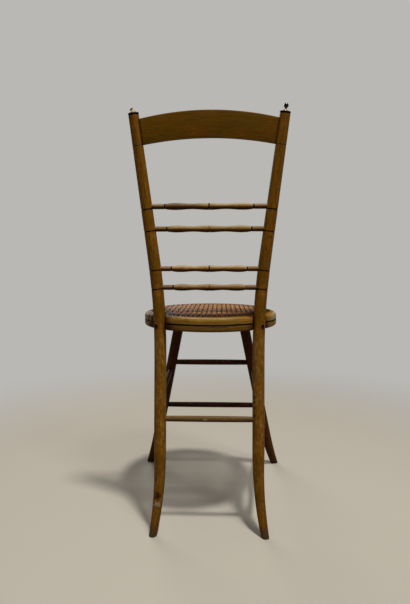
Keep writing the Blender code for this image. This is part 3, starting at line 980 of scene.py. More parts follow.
@dataclass
class BackFrame:
    """Bent back posts with the crest rail, the turned spindles and the finials."""

    lines: ChairLines
    shop: Workshop
    scoring: Scoring = Scoring()
    # Crest rail
    crest_low: float = 0.8820
    crest_height: float = 0.0533
    crest_lower_arch: float = 0.0147
    crest_upper_arch: float = 0.0186
    crest_thickness: float = 0.0140
    crest_round: float = 0.0022
    crest_web: float = 0.0044
    crest_steps: int = 120
    grain_arch: float = 0.4
    # Painted shade where the crest meets the posts, darkest at its ends
    joint_mark: float = -1.6
    joint_reach: float = 0.0120
    # Back posts
    ring_below_crest: float = 0.0012
    crest_ring_ink: float = 0.6
    collar_height: float = 0.0028
    collar_swell: float = 0.0006
    dome_height: float = 0.0020
    dome_flat: float = 0.0052
    foot_margin: float = 0.01
    post_step: float = 0.006
    post_sides: int = 56
    arc_rows: int = 6
    leg_wear: float = 0.55
    foot_wear: float = 0.40
    wear_fade: float = 0.060
    scuff: float = 0.18
    scuff_height: float = 0.13
    # Old damage of the rear legs
    mended_break: tuple[Scar, ...] = (
        Scar(0.0965, 5.0, 0.0055, -0.9, 0.0003, 0.9),
        Scar(0.0905, -20.0, 0.0050, -0.6, 0.0003, 0.9),
        Scar(0.0880, 12.0, 0.0052, -0.7, 0.0003, 0.8),
        Scar(0.0865, 48.0, 0.0036, -0.8, 0.0, 0.9),
        Scar(0.0725, 28.0, 0.0058, 0.25, -0.0002, 0.6),
        Scar(0.0705, -26.0, 0.0058, 0.22, -0.0002, 0.6),
        Scar(0.0640, 8.0, 0.0040, -0.35, 0.0002, 0.7),
    )
    splinters: tuple[Scar, Scar] = (
        Scar(0.0860, 48.0, 0.0017, 0.36, -0.0003, 1.2),
        Scar(0.0848, -50.0, 0.0017, 0.32, -0.0003, 1.2),
    )
    splinter_count: int = 5
    splinter_drop: float = 0.0025
    splinter_turn: float = 10.0
    nail_holes: tuple[Scar, ...] = (
        Scar(0.3170, 48.0, 0.0020, -1.6, 0.0012, 1.3),
        Scar(0.3060, 46.0, 0.0018, -1.4, 0.0010, 1.2),
        Scar(0.2930, 47.0, 0.0020, -1.5, 0.0010, 1.4),
        Scar(0.2760, 45.0, 0.0022, -0.9, 0.0004, 2.5),
        Scar(0.6830, -20.0, 0.0035, -0.6, 0.0, 1.4),
    )
    # Its height counts from the seat ring's underside, and its bearing is the screw's
    plug_stain: Scar = Scar(0.0065, 0.0, 0.0052, -1.2, 0.0, 1.1)
    # Spindles
    spindles: tuple[Spindle, ...] = (
        Spindle("top", 0.2406, 0.0285, 0.0062, (1.0, 1.0, 1.0), "#8C7C5C", -0.48),
        Spindle("upper", 0.1910, 0.0263, 0.0048, (1.0, 0.62, 0.9), "#7E6C49"),
        Spindle("lower", 0.1014, 0.0240, 0.0032, (0.75, 0.8, 0.85), "#8F7856"),
        Spindle("bottom", 0.0583, 0.0234, 0.0034, (0.6, 0.66, 1.0), "#7F684B"),
    )
    end_mark: float = -0.33
    spindle_sides: int = 32
    spindle_end: float = 0.0060
    spindle_swell: float = 0.0079
    spindle_waist: float = 0.0060
    spindle_wave: tuple[tuple[float, float], ...] = (
        (0.10, 0.70), (0.22, 1.00), (0.34, 0.85), (0.50, 0.25), (0.62, 0.00), (0.74, 0.25), (0.90, 0.85),
    )
    # Finials
    ball_neck: tuple[Step, ...] = (
        Step(-0.0020, 0.0044, 1.0),
        Step(0.0010, 0.0044, 1.0),
        Step(0.0022, 0.00374, 1.0),
        Step(0.0036, 0.00252, 0.8),
        Step(0.0050, 0.0021),
    )
    ball_size: float = 0.0052
    ball_rise: float = 0.0108
    ball_end: float = 0.97 * math.pi
    ball_rows: int = 18
    finial_sides: int = 24
    stump: tuple[Step, ...] = (
        Step(-0.0020, 0.0074, 0.8),
        Step(0.0005, 0.0074, 0.8),
        Step(0.0022, 0.006068, 0.8),
        Step(0.0040, 0.004588, 0.8, 0.4),
        Step(0.0052, 0.00363, 0.4, 0.7),
        Step(0.0062, 0.0033, 0.0, 1.0),
        Step(0.0095, 0.00297, 0.0, 1.0),
    )
    stump_lean: Point = (0.0030, 0.0, 0.0)
    stump_height: float = 0.00818
    stump_slant: float = 24.0

    def build(self) -> None:
        """Make and dress every piece of the back."""
        for side in Side:
            self.build_post(side)
        self.build_crest()
        for plan in self.spindles:
            self.build_spindle(plan)
        self.build_ball()
        self.build_stump()

    def post_spots(self, side: Side) -> list[Spot]:
        """Place the old damage of a rear leg and the stain round its screw plug.

        Args:
            side: Side of the chair. The left leg has a mended break, the right one nail holes.

        Returns:
            The spots.
        """
        lines = self.lines
        scars = list(self.mended_break if side is Side.LEFT else self.nail_holes)
        if side is Side.LEFT:
            for index in range(self.splinter_count):
                for scar in self.splinters:
                    turn = -math.copysign(self.splinter_turn * index, scar.bearing)
                    low = scar.height - self.splinter_drop * index
                    scars.append(scar._replace(height=low, bearing=scar.bearing + turn))
        plug = lines.ring_bottom + self.plug_stain.height
        scars.append(self.plug_stain._replace(height=plug, bearing=lines.screw_bearing * side.value))
        spots = []
        for height, bearing, *look in scars:
            turn = math.radians(bearing)
            way = Vector((math.sin(turn), math.cos(turn), 0.0))
            spots.append(Spot(lines.post_axis(height, side) + way * lines.post_radius(height), *look))
        return spots

    def build_post(self, side: Side) -> None:
        """Make a back post with its scored rings, collar, domed top and old damage.

        Args:
            side: Side of the chair.
        """
        lines = self.lines
        top = lines.post_top - self.dome_height
        collar_low = top - self.collar_height
        rings = {lines.seat_top + plan.rise - plan.ring_drop: 1.0 for plan in self.spindles}
        rings[self.crest_low - self.ring_below_crest] = self.crest_ring_ink
        rings[collar_low] = 1.0
        strengths = np.array(list(rings.values()))
        low = -self.foot_margin
        count = math.ceil((collar_low - low) / self.post_step)
        stations = np.linspace(low, collar_low, count + 1).tolist()
        for ring in rings:
            stations += self.scoring.stations(ring)
        spots = self.post_spots(side)
        for spot in spots:
            stations += spot.stations()
        stations += np.linspace(collar_low, top, self.arc_rows).tolist()
        sections = []
        for height in np.unique(np.round(stations, 6)).tolist():
            offs = np.array(list(rings)) - height
            radius = lines.post_radius(height) - float((strengths * self.scoring.depth_at(offs)).max())
            ink = float((strengths * self.scoring.ink_at(offs)).max())
            if height > collar_low:
                radius += self.collar_swell * min((height - collar_low) / self.scoring.width, 1.0)
                past = max(height - collar_low - self.scoring.width, 0.0)
                ink = max(ink, 1.0 - past / self.scoring.spread)
            wear = self.foot_wear + (self.leg_wear - self.foot_wear) * height / lines.ring_bottom
            wear *= min(max((lines.seat_top - height) / self.wear_fade, 0.0), 1.0)
            scuffed = self.scuff * max(1.0 - height / self.scuff_height, 0.0)
            axis = lines.post_axis(height, side)
            sections.append(Section(axis, radius, height, max(ink, 0.0), scuffed, wear))
        rim = lines.post_top_size + self.collar_swell
        for turn in np.linspace(0.0, math.pi / 2, self.arc_rows)[1:].tolist():
            height = top + self.dome_height * math.sin(turn)
            radius = self.dome_flat + (rim - self.dome_flat) * math.cos(turn)
            sections.append(Section(lines.post_axis(height, side), radius, height))
        post = round_member("bent_post_" + side.word, sections, self.post_sides, spots)
        cut_flat(post, Vector((0.0, 0.0, 0.0)), Vector((0.0, 0.0, 1.0)))
        self.shop.dress(post, GLAZED, "back_post_" + side.word)

    def build_crest(self) -> None:
        """Make the arched crest rail, with eased edges."""
        lines = self.lines
        foot = lines.post_axis(self.crest_low, Side.LEFT)
        low_end = foot.x - self.crest_web
        high_end = lines.post_axis(self.crest_low + self.crest_height, Side.LEFT).x - self.crest_web
        half = Vector((self.crest_thickness / 2, self.crest_height / 2))
        outline, edges = [], []
        for corner in range(4):
            centre = Vector((
                (half.x - self.crest_round) * (1 if corner in (0, 3) else -1),
                (half.y - self.crest_round) * (1 if corner in (0, 1) else -1),
            ))
            for turn in np.linspace(0.0, math.pi / 2, self.arc_rows).tolist():
                angle = corner * math.pi / 2 + turn
                outline.append(centre + self.crest_round * Vector((math.cos(angle), math.sin(angle))))
                edges.append(math.sin(2 * turn))
        slope = lines.back_rake
        slant = math.hypot(1.0, slope)
        verts, grain, marks = [], [], []
        for share in np.linspace(-1.0, 1.0, self.crest_steps + 1).tolist():
            bow = 1.0 - share * share
            inset = low_end * (1.0 - abs(share))
            # Painted shade at the joints with the posts
            marks.append(self.joint_mark * max(1.0 - inset / self.joint_reach, 0.0))
            low_edge = self.crest_lower_arch * bow
            high_edge = self.crest_height + self.crest_upper_arch * bow
            for depth, up in outline:
                rise = (up + half.y) / self.crest_height
                across = (low_end + (high_end - low_end) * rise) * share
                height = low_edge + (high_edge - low_edge) * rise
                behind = foot.y + slope * height + depth / slant
                verts.append((across, behind, foot.z + height - depth * slope / slant))
                grain.append((depth, height - self.grain_arch * low_edge, across))
        rows, ring = len(marks), len(outline)
        values = {"grain": np.array(grain), "wear": np.tile(edges, rows), "mark": np.repeat(marks, ring)}
        crest = new_piece("arched_crest", np.array(verts), skin(rows, ring), values)
        face_out(crest, sharp=50.0)
        self.shop.dress(crest, CREST, "crest_rail")

    def build_spindle(self, plan: Spindle) -> None:
        """Make a faux bamboo spindle.

        Args:
            plan: Its place, rings and tone.
        """
        lines = self.lines
        height = lines.seat_top + plan.rise
        start = lines.post_axis(height, Side.RIGHT)
        end = lines.post_axis(height, Side.LEFT)
        way = (end - start).normalized()
        length = (end - start).length - 2 * lines.socket_web
        ring = lines.post_radius(height) - lines.socket_web + plan.plain_end
        middle = length / 2
        bay = middle - ring
        lip = self.scoring.width / 2
        swell = self.spindle_swell - self.spindle_waist
        half = [(0.0, self.spindle_end), (ring - lip, self.spindle_end), (ring + lip, self.spindle_waist)]
        for share, part in self.spindle_wave:
            half.append((ring + bay * share, self.spindle_waist + swell * part))
        half.append((middle, self.spindle_swell))
        other = [(length - along, radius) for along, radius in half[-2::-1]]
        turning = Turning(half + other, (ring, middle, length - ring), plan.inks)
        sections = []
        for part in turning.sections(start + way * lines.socket_web, way):
            is_end = min(part.along, length - part.along) < ring
            left_share = min(max(part.along - middle, 0.0) / plan.plain_end, 1.0)
            sections.append(replace(part, mark=self.end_mark if is_end else plan.stain * left_share))
        spindle = round_member("bamboo_spindle_" + plan.word, sections, self.spindle_sides)
        finish = replace(RUBBED, name=RUBBED.name + "_" + plan.word, worn=plan.worn)
        self.shop.dress(spindle, finish, "back_spindle_" + plan.word)

    def finial_place(self, side: Side) -> tuple[Vector, Vector]:
        """Find where a finial stands.

        Args:
            side: Side of the chair.

        Returns:
            Top of the post, and the direction that it points in.
        """
        top = self.lines.post_axis(self.lines.post_top, side)
        below = self.lines.post_axis(self.lines.post_top - self.collar_height, side)
        return top, (top - below).normalized()

    def turn_finial(self, name: str, side: Side, steps: Sequence[Step]) -> bpy.types.Object:
        """Turn a finial on the top of its post.

        Args:
            name: Name of the piece.
            side: Side of the chair.
            steps: Its steps in order, from inside the post upwards.

        Returns:
            The finial.
        """
        top, way = self.finial_place(side)
        lean = Vector(self.stump_lean)
        sections = [
            Section(top + way * step.along + lean * step.lean, step.radius, step.along, mark=step.mark)
            for step in steps
        ]
        return round_member(name, sections, self.finial_sides)

    def build_ball(self) -> None:
        """Make the ball finial, black on a thin neck and a bare base."""
        steps = list(self.ball_neck)
        neck = math.asin(steps[-1].radius / self.ball_size)
        for turn in np.linspace(neck, self.ball_end, self.ball_rows).tolist():
            along = self.ball_rise - self.ball_size * math.cos(turn)
            steps.append(Step(along, self.ball_size * math.sin(turn)))
        ball = self.turn_finial("ball_finial", Side.RIGHT, steps)
        self.shop.dress(ball, POLISHED, "finial_right")

    def build_stump(self) -> None:
        """Make the stump of the finial that has lost its ball, and break it off at a slant."""
        stump = self.turn_finial("finial_stump", Side.LEFT, self.stump)
        top, way = self.finial_place(Side.LEFT)
        slant = Matrix.Rotation(math.radians(self.stump_slant), 3, "Y") @ -way
        cut_flat(stump, top + Vector(self.stump_lean) + way * self.stump_height, slant)
        self.shop.dress(stump, EBONISED, "finial_left")


@dataclass
class CanedSeat:
    """Round seat ring, drilled for its cane, and the cane woven across it."""

    lines: ChairLines
    shop: Workshop
    # Section of the ring
    radius: float = 0.1660
    width: float = 0.0380
    land_width: float = 0.0125
    land_drop: float = 0.0025
    fall: float = 0.0050
    rim_round: float = 0.0085
    lower_round: float = 0.0052
    edge: float = 0.0015
    groove_drop: float = 0.0236
    scoring: Scoring = Scoring(width=0.0032, depth=0.0010, spread=0.0009)
    ring_steps: int = 240
    slope_rows: int = 7
    rim_rows: int = 9
    lower_rows: int = 7
    # Cane holes and the housings of the posts
    hole_count: int = 76
    hole_circle: float = 0.1470
    hole_radius: float = 0.0046
    hole_depth: float = 0.012
    hole_sides: int = 14
    hole_share: float = 0.45
    weld: float = 1e-5
    housing_gap: float = 0.0004
    housing_depth: float = 0.030
    housing_flare: float = 0.14
    # Weave
    pitch: float = 0.0117
    strand_width: float = 0.0027
    strand_thickness: float = 0.0008
    pair_half: float = 0.00165
    pair_rise: float = 0.00035
    upright_rise: float = 0.00045
    diagonal_rise: float = 0.00070
    cane_middle: float = 0.00125
    bed_radius: float = 0.1385
    sample: float = 0.0023
    dive_drops: tuple[float, float, float] = (0.0006, 0.0018, 0.0050)
    # Tones of strand ends in the holes: dusty and in painted shade
    dive_tones: tuple[float, float, float] = (-0.5, -1.0, -1.0)
    calm_edge: float = 0.15
    crossing_spread: float = 0.8
    # Wear and stains of the ring, with a painted highlight along the rim and painted shadow beside the posts
    rim_band: float = 0.48
    below_mark: float = -0.36
    # Darkening of the land and round the holes: dirt and painted shade
    land_mark: float = -0.20
    hole_mark: float = -0.62
    hole_band: float = 0.0065
    end_dust: float = 0.45
    end_dust_start: float = 0.70
    # Painted shadow of the posts on the ring beside them
    painted_post_shadow: float = -0.95
    post_shadow_reach: tuple[float, float] = (0.024, 0.016)
    wear_gap: float = 0.062
    # Tones of the strands
    patch_length: float = 0.055
    patch_share: float = 0.4
    edge_fade: float = 0.042
    edge_dust_and_shade: float = 0.34
    tone_seed: int = 11

    def build(self) -> None:
        """Make and dress the ring and the cane."""
        self.build_ring()
        shades = random.Random(self.tone_seed)
        for weave in Weave:
            self.build_strands(weave, shades)

    def profile(self) -> list[tuple[float, float]]:
        """Draw the ring's section, down its outer side and up its inner side.

        Returns:
            Its points as radius and height.
        """
        lines = self.lines
        land = lines.seat_top - self.land_drop
        rim_top = land - self.fall
        groove = lines.seat_top - self.groove_drop
        inner = self.radius - self.width
        land_end = inner + self.land_width
        slope_end = self.radius - self.rim_round
        points = [
            (land_end + (slope_end - land_end) * share, land + (rim_top - land) * share)
            for share in np.linspace(0.0, 1.0, self.slope_rows, endpoint=False).tolist()
        ]
        for turn in np.linspace(0.0, math.pi / 2, self.rim_rows).tolist():
            points.append((
                slope_end + self.rim_round * math.sin(turn),
                rim_top - self.rim_round * (1 - math.cos(turn)),
            ))
        for height in self.scoring.stations(groove)[::-1]:
            points.append((self.radius - float(self.scoring.depth_at(np.array(height - groove))), height))
        for turn in np.linspace(0.0, math.pi / 2, self.lower_rows).tolist():
            points.append((
                self.radius - self.lower_round * (1 - math.cos(turn)),
                lines.ring_bottom + self.lower_round * (1 - math.sin(turn)),
            ))
        points += [
            (inner + self.edge, lines.ring_bottom),
            (inner, lines.ring_bottom + self.edge),
            (inner, land - self.edge),
            (inner + self.edge, land),
        ]
        return points

    def build_ring(self) -> None:
        """Turn the ring's section round the seat and drill it for the cane."""
        profile = np.array(self.profile())
        turns = np.linspace(0.0, 2 * math.pi, self.ring_steps, endpoint=False)
        verts = np.stack([
            np.outer(np.cos(turns), profile[:, 0]),
            np.outer(np.sin(turns), profile[:, 0]) + self.lines.seat_axis,
            np.repeat(profile[None, :, 1], self.ring_steps, 0),
        ], axis=2).reshape(-1, 3)
        ring = new_piece("drilled_seat_ring", verts, skin(self.ring_steps, len(profile), closed=True), {})
        face_out(ring)
        self.drill(ring)
        self.mark_ring(ring.data)
        face_out(ring, sharp=32.0)
        self.shop.dress(ring, SEAT, "seat_ring")

    def hole_bearings(self) -> np.ndarray:
        """Bearings of the cane holes round the seat's axis."""
        return math.pi / 2 + np.arange(self.hole_count) * 2 * math.pi / self.hole_count

    def drill(self, ring: bpy.types.Object) -> None:
        """Drill the cane holes into the sloping top of the ring and cut the housings of the posts.

        Args:
            ring: The plain ring.
        """
        drill = stand("cane_drill", bpy.data.meshes.new("cane_drill"))
        with opened(drill.data) as form:
            for bearing in self.hole_bearings().tolist():
                place = Vector((
                    self.hole_circle * math.cos(bearing),
                    self.lines.seat_axis + self.hole_circle * math.sin(bearing),
                    self.lines.seat_top,
                ))
                bmesh.ops.create_cone(
                    form, cap_ends=True, segments=self.hole_sides, radius1=self.hole_radius,
                    radius2=self.hole_radius, depth=2 * self.hole_depth, matrix=Matrix.Translation(place),
                )
            for side in Side:
                self.add_housing(form, side)
            bmesh.ops.recalc_face_normals(form, faces=form.faces)
        opening = ring.modifiers.new("drilled", "BOOLEAN")
        opening.operation = "DIFFERENCE"
        opening.solver = "EXACT"
        opening.object = drill
        bpy.context.view_layer.update()
        solid = ring.evaluated_get(bpy.context.evaluated_depsgraph_get())
        drilled = bpy.data.meshes.new_from_object(solid)
        ring.modifiers.clear()
        ring.data = drilled
        bpy.data.objects.remove(drill, do_unlink=True)
        with opened(drilled) as form:
            bmesh.ops.remove_doubles(form, verts=form.verts, dist=self.weld)
            bmesh.ops.dissolve_degenerate(form, edges=form.edges, dist=self.weld)

    def add_housing(self, form: bmesh.types.BMesh, side: Side) -> None:
        """Add a cutter that squares the ring off beside a post, so that the post shows whole.

        Args:
            form: Cutters so far, added to.
            side: Side of the chair.
        """
        lines = self.lines
        near = lines.post_size + self.housing_gap
        far = near + self.housing_flare * self.housing_depth
        plan = ((0.0, 0.0), (near, 0.0), (far, self.housing_depth), (0.0, self.housing_depth))
        points = []
        for height in (lines.ring_bottom - self.hole_depth, lines.seat_top + self.hole_depth):
            axis = lines.post_axis(height, side)
            for across, behind in plan:
                points.append(form.verts.new((axis.x - side.value * across, axis.y + behind, height)))
        for face in skin(2, len(plan)):
            form.faces.new([points[number] for number in face])

    def mark_ring(self, mesh: bpy.types.Mesh) -> None:
        """Write the ring's grain, which runs round it, its scored line, its wear with a painted highlight,
        and its stains with painted shade.

        Args:
            mesh: The drilled ring.
        """
        lines = self.lines
        places = np.zeros(len(mesh.vertices) * 3)
        mesh.vertices.foreach_get("co", places)
        places = places.reshape(-1, 3)
        across, behind, height = places[:, 0], places[:, 1] - lines.seat_axis, places[:, 2]
        reach = np.hypot(across, behind)
        self.mark_grain(mesh, np.stack([reach, height, np.arctan2(behind, across) * self.radius], axis=1))
        groove = lines.seat_top - self.groove_drop
        ink = self.scoring.ink_at(height - groove) * (reach > self.radius - 2 * self.scoring.depth)
        # Wear and a painted highlight are strongest halfway round the rim, and what faces up is dusty
        rim = self.radius - 0.5 * self.rim_round
        rim_top = lines.seat_top - self.land_drop - self.fall
        on_top = height > rim_top - 0.2 * self.rim_round
        far = (reach - rim) ** 2 + (height - rim_top) ** 2
        worn = np.exp(-far / (self.rim_band * self.rim_round) ** 2)
        mark = self.below_mark * np.clip((groove - height) / self.scoring.width, 0.0, 1.0)
        # The land and the holes are darker, partly by dirt and partly by painted shade
        mark = mark + self.land_mark * np.clip((rim - reach) / self.rim_round, 0.0, 1.0) * on_top
        mark = mark + self.hole_mark * np.exp(-((reach - self.hole_circle) / self.hole_band) ** 2) * on_top
        outer = (np.abs(across) / self.radius - self.end_dust_start) / (1.0 - self.end_dust_start)
        mark = mark + self.end_dust * np.clip(outer, 0.0, 1.0) * (behind > 0.0)
        # Painted shadow of each post on the ring beside it, where the rim's wear and highlight fade
        for side, post_shadow_reach in zip(Side, self.post_shadow_reach):
            post = lines.post_axis(groove, side)
            apart = np.hypot(across - post.x, behind + lines.seat_axis - post.y)
            mark = mark + self.painted_post_shadow * np.exp(-((apart - lines.post_size) / post_shadow_reach) ** 2)
            worn = worn * (1.0 - np.exp(-(apart / self.wear_gap) ** 2))
        write_values(mesh, {"score": ink, "wear": worn, "mark": mark})

    def mark_grain(self, mesh: bpy.types.Mesh, grain: np.ndarray) -> None:
        """Write the grain at each corner of the ring's faces, so that it has no seam.

        Args:
            mesh: The drilled ring.
            grain: Grain at each point. Its last number jumps back by the girth at one bearing.
        """
        corners = np.zeros(len(mesh.loops), dtype=np.int64)
        mesh.loops.foreach_get("vertex_index", corners)
        grain = grain[corners]
        girth = 2 * math.pi * self.radius
        for face in mesh.polygons:
            span = slice(face.loop_start, face.loop_start + face.loop_total)
            along = grain[span, 2]
            grain[span, 2] = np.where(along < along.max() - girth / 2, along + girth, along)
        write_values(mesh, {"grain": grain}, "CORNER")

    def offsets(self, weave: Weave) -> list[tuple[float, int]]:
        """List the strands of a family.

        Args:
            weave: The family.

        Returns:
            Distance of each strand from the seat's axis, and which of a pair it is.
        """
        count = math.ceil(self.bed_radius / self.pitch)
        if weave in (Weave.UPRIGHT, Weave.CROSS):
            return [
                (index * self.pitch + sign * self.pair_half, sign)
                for index in range(-count, count + 1) for sign in (-1, 1)
            ]
        spacing = self.pitch / math.sqrt(2)
        return [((index + 0.5) * spacing, 0) for index in range(-2 * count, 2 * count)]

    def lift(self, weave: Weave, member: int, across: np.ndarray, along: np.ndarray) -> np.ndarray:
        """Work out a strand's height above the middle of the weave, over and under its neighbours.

        Args:
            weave: Family of the strand.
            member: Which of a pair it is.
            across: X of its points from the seat's axis.
            along: Y of its points from the seat's axis.

        Returns:
            Height at each point.
        """
        if weave in (Weave.RISING, Weave.FALLING):
            rise = math.copysign(self.diagonal_rise, weave.value)
            return rise * np.cos(2 * math.pi * across / self.pitch)
        way = along if weave is Weave.UPRIGHT else across
        base = self.upright_rise if weave is Weave.UPRIGHT else -self.upright_rise
        sign = member if weave is Weave.CROSS else -member
        off = (way + self.pitch / 2) % self.pitch - self.pitch / 2
        spread = self.pair_half * self.crossing_spread
        first = np.exp(-((off + self.pair_half) / spread) ** 2)
        second = np.exp(-((off - self.pair_half) / spread) ** 2)
        return base + self.pair_rise * sign * (second - first)

    def build_strands(self, weave: Weave, shades: random.Random) -> None:
        """Weave one family of strands and lead their ends into the holes.

        Args:
            weave: Family to make.
            shades: Source of each strand's own tone.
        """
        angle = math.radians(weave.value)
        way = np.array([math.cos(angle), math.sin(angle)])
        beside = np.array([-way[1], way[0]])
        middle = self.lines.seat_top - self.cane_middle
        # Ends darken with dirt and painted shade at the bed's edge and in the holes
        dusty = np.array([-self.edge_dust_and_shade, *self.dive_tones])
        verts, faces, grain, tones = [], [], [], []
        phase = 0.0
        for offset, member in self.offsets(weave):
            reach = self.bed_radius ** 2 - offset ** 2
            if reach < self.pitch ** 2:
                continue
            half = math.sqrt(reach)
            spots = np.linspace(-half, half, math.ceil(2 * half / self.sample) + 1)
            flat = beside[None, :] * offset + way[None, :] * spots[:, None]
            inset = self.bed_radius - np.hypot(flat[:, 0], flat[:, 1])
            calm = np.clip(inset / self.pitch, self.calm_edge, 1.0)
            height = middle + calm * self.lift(weave, member, flat[:, 0], flat[:, 1])
            path = np.column_stack([flat, height])
            tone = weave.tone[0] + (weave.tone[1] - weave.tone[0]) * shades.random()
            if member != 1:
                phase = shades.random()
            edge = np.clip(inset / self.edge_fade, 0.0, 1.0)
            wave = np.sin(2 * math.pi * (spots / self.patch_length + phase))
            # Darker towards the edge of the bed, by dirt and painted shade
            tints = tone * (1.0 + self.patch_share * wave) * edge - self.edge_dust_and_shade * (1.0 - edge) ** 4
            path = np.vstack([self.dive(path[0])[::-1], path, self.dive(path[-1])])
            tints = np.concatenate([dusty[::-1], tints, dusty])
            self.add_ribbon(path, beside, tints, verts, faces, grain, tones)
        places = np.array(verts)
        places[:, 1] += self.lines.seat_axis
        values = {"grain": np.array(grain), "tone": np.array(tones)}
        strands = new_piece("cane_strands_" + weave.name.lower(), places, faces, values)
        face_out(strands, sharp=60.0)
        self.shop.dress(strands, CANE, "cane_panel")

    def dive(self, last: np.ndarray) -> np.ndarray:
        """Lead a strand's end into the nearest hole.

        Args:
            last: End of the strand on the ring's land.

        Returns:
            The points in order, out and then down.
        """
        holes = self.hole_bearings()
        apart = (holes - math.atan2(last[1], last[0]) + math.pi) % (2 * math.pi) - math.pi
        nearest = float(holes[int(np.argmin(np.abs(apart)))])
        outward = np.array([math.cos(nearest), math.sin(nearest)])
        aside = self.hole_share * (last[:2] - outward * (last[:2] @ outward))
        hole = self.hole_circle * outward + aside
        inward = hole - self.hole_radius * outward
        lip = self.lines.seat_top - self.land_drop + self.strand_thickness * 0.4
        at_edge, inside, bottom = (lip - drop for drop in self.dive_drops)
        # Halfway out, over the hole's edge, most of the way to its middle, and down in it
        return np.array([
            (*(0.5 * (last[:2] + inward)), 0.4 * last[2] + 0.6 * lip),
            (*inward, at_edge),
            (*(0.35 * inward + 0.65 * hole), inside),
            (*hole, bottom),
        ])

    def add_ribbon(
        self, path: np.ndarray, beside: np.ndarray, tints: np.ndarray,
        verts: list, faces: list, grain: list, tones: list,
    ) -> None:
        """Add one strand, flat below and domed above.

        Args:
            path: Points of its middle.
            beside: Direction across the family, in plan.
            tints: The strand's tone at each point.
            verts: Points so far, added to.
            faces: Faces so far, added to.
            grain: Grain at each point, added to.
            tones: Tone at each point, added to.
        """
        ways = np.gradient(path, axis=0)
        ways /= np.linalg.norm(ways, axis=1)[:, None]
        level = np.column_stack([-ways[:, 1], ways[:, 0], np.zeros(len(ways))])
        steep = np.hypot(level[:, 0], level[:, 1]) < 0.5
        level[steep] = (*beside, 0.0)
        flip = np.sign(level[:, 0] * beside[0] + level[:, 1] * beside[1])
        level *= (flip / np.maximum(np.linalg.norm(level, axis=1), 1e-9))[:, None]
        above = np.cross(ways, level)
        half, thick = self.strand_width / 2, self.strand_thickness / 2
        shoulder = 0.2 * thick
        outline = [(-half, -thick), (half, -thick), (half, shoulder), (0.0, thick), (-half, shoulder)]
        run = np.concatenate([[0.0], np.cumsum(np.linalg.norm(np.diff(path, axis=0), axis=1))])
        faces.extend(skin(len(path), len(outline), len(verts)))
        apart = float(tints.max())
        for point, side_way, up, length, tint in zip(path, level, above, run, tints):
            for across, rise in outline:
                verts.append(tuple(point + side_way * across + up * rise))
                grain.append((across + apart, rise, length + apart))
                tones.append(tint)


@dataclass
class LegFrame:
    """Splayed front legs and the rungs that tie the legs together."""

    lines: ChairLines
    shop: Workshop
    leg_step: float = 0.008
    leg_margin: float = 0.012
    rung_size: float = 0.0071
    front_rail_size: float = 0.0078
    rung_taper: float = 0.0006
    fullness: float = 0.6
    knot_count: int = 25
    rung_sides: int = 28
    front_heights: tuple[float, float] = (0.3377, 0.2005)
    side_heights: tuple[float, float] = (0.3140, 0.1780)
    rear_height: float = 0.2648
    chip_share: float = 0.54
    chip_way: Point = (0.0, 1.0, 0.05)
    # Painted shade of the seat on the front legs and side rungs, darkest at the top
    dark_foot: float = -0.05
    dark_top: float = -0.62

    def build(self) -> None:
        """Make and dress the legs and rungs."""
        lines = self.lines
        words = ("upper", "lower")
        for side in Side:
            self.build_leg(side)
        for word, height in zip(words, self.front_heights):
            ends = lines.leg_axis(height, Side.RIGHT), lines.leg_axis(height, Side.LEFT)
            rung = self.rung("front_rung_" + word, ends, self.front_rail_size)
            self.shop.dress(rung, EBONISED, "front_rail_" + word)
        ends = lines.post_axis(self.rear_height, Side.RIGHT), lines.post_axis(self.rear_height, Side.LEFT)
        chip_place = ends[0].lerp(ends[1], self.chip_share) + Vector(self.chip_way) * self.rung_size
        chip = Spot(chip_place, reach=0.0065, mark=0.5, sink=0.0004, stretch=0.35)
        rung = self.rung("rear_rung", ends, self.rung_size, spots=(chip,))
        self.shop.dress(rung, STRETCHER, "rear_stretcher")
        for side in Side:
            for word, height in zip(words, self.side_heights):
                ends = lines.leg_axis(height, side), lines.post_axis(height, side)
                # Side rungs carry the painted shade of the seat all along
                rung = self.rung(f"side_rung_{word}_{side.word}", ends, self.rung_size, self.dark_top)
                self.shop.dress(rung, SHADED, f"side_stretcher_{word}_{side.word}")

    def build_leg(self, side: Side) -> None:
        """Make a front leg, from the floor up into the seat ring.

        Args:
            side: Side of the chair.
        """
        lines = self.lines
        top = lines.ring_bottom + self.leg_margin
        count = math.ceil((top + self.leg_margin) / self.leg_step)
        sections = []
        for height in np.linspace(-self.leg_margin, top, count + 1).tolist():
            # Painted shade of the seat, darker towards the top
            mark = self.dark_foot + (self.dark_top - self.dark_foot) * max(height, 0.0) / top
            axis = lines.leg_axis(height, side)
            sections.append(Section(axis, lines.leg_radius(height), height, mark=mark))
        leg = round_member("splayed_leg_" + side.word, sections)
        cut_flat(leg, Vector((0.0, 0.0, 0.0)), Vector((0.0, 0.0, 1.0)))
        self.shop.dress(leg, SHADED, "front_leg_" + side.word)

    def rung(
        self, name: str, ends: tuple[Vector, Vector], size: float, mark: float = 0.0,
        spots: Sequence[Spot] = (),
    ) -> bpy.types.Object:
        """Make a slender rung, fullest at its middle.

        Args:
            name: Name of the piece.
            ends: Points on the axes of the two legs that hold it.
            size: Radius at its middle.
            mark: Painted shade all along it, dark below nothing.
            spots: Chips in its surface.

        Returns:
            The rung.
        """
        start, end = ends
        way = (end - start).normalized()
        web = self.lines.socket_web
        length = (end - start).length - 2 * web
        hidden = self.lines.front_leg_size + web
        thin = size - self.rung_taper
        knots = [(0.0, thin)]
        for share in np.linspace(0.0, 1.0, self.knot_count).tolist():
            radius = thin + self.rung_taper * math.sin(share * math.pi) ** self.fullness
            knots.append((hidden + (length - 2 * hidden) * share, radius))
        knots.append((length, thin))
        sections = [replace(part, mark=mark) for part in Turning(knots).sections(start + way * web, way)]
        return round_member(name, sections, self.rung_sides, spots)


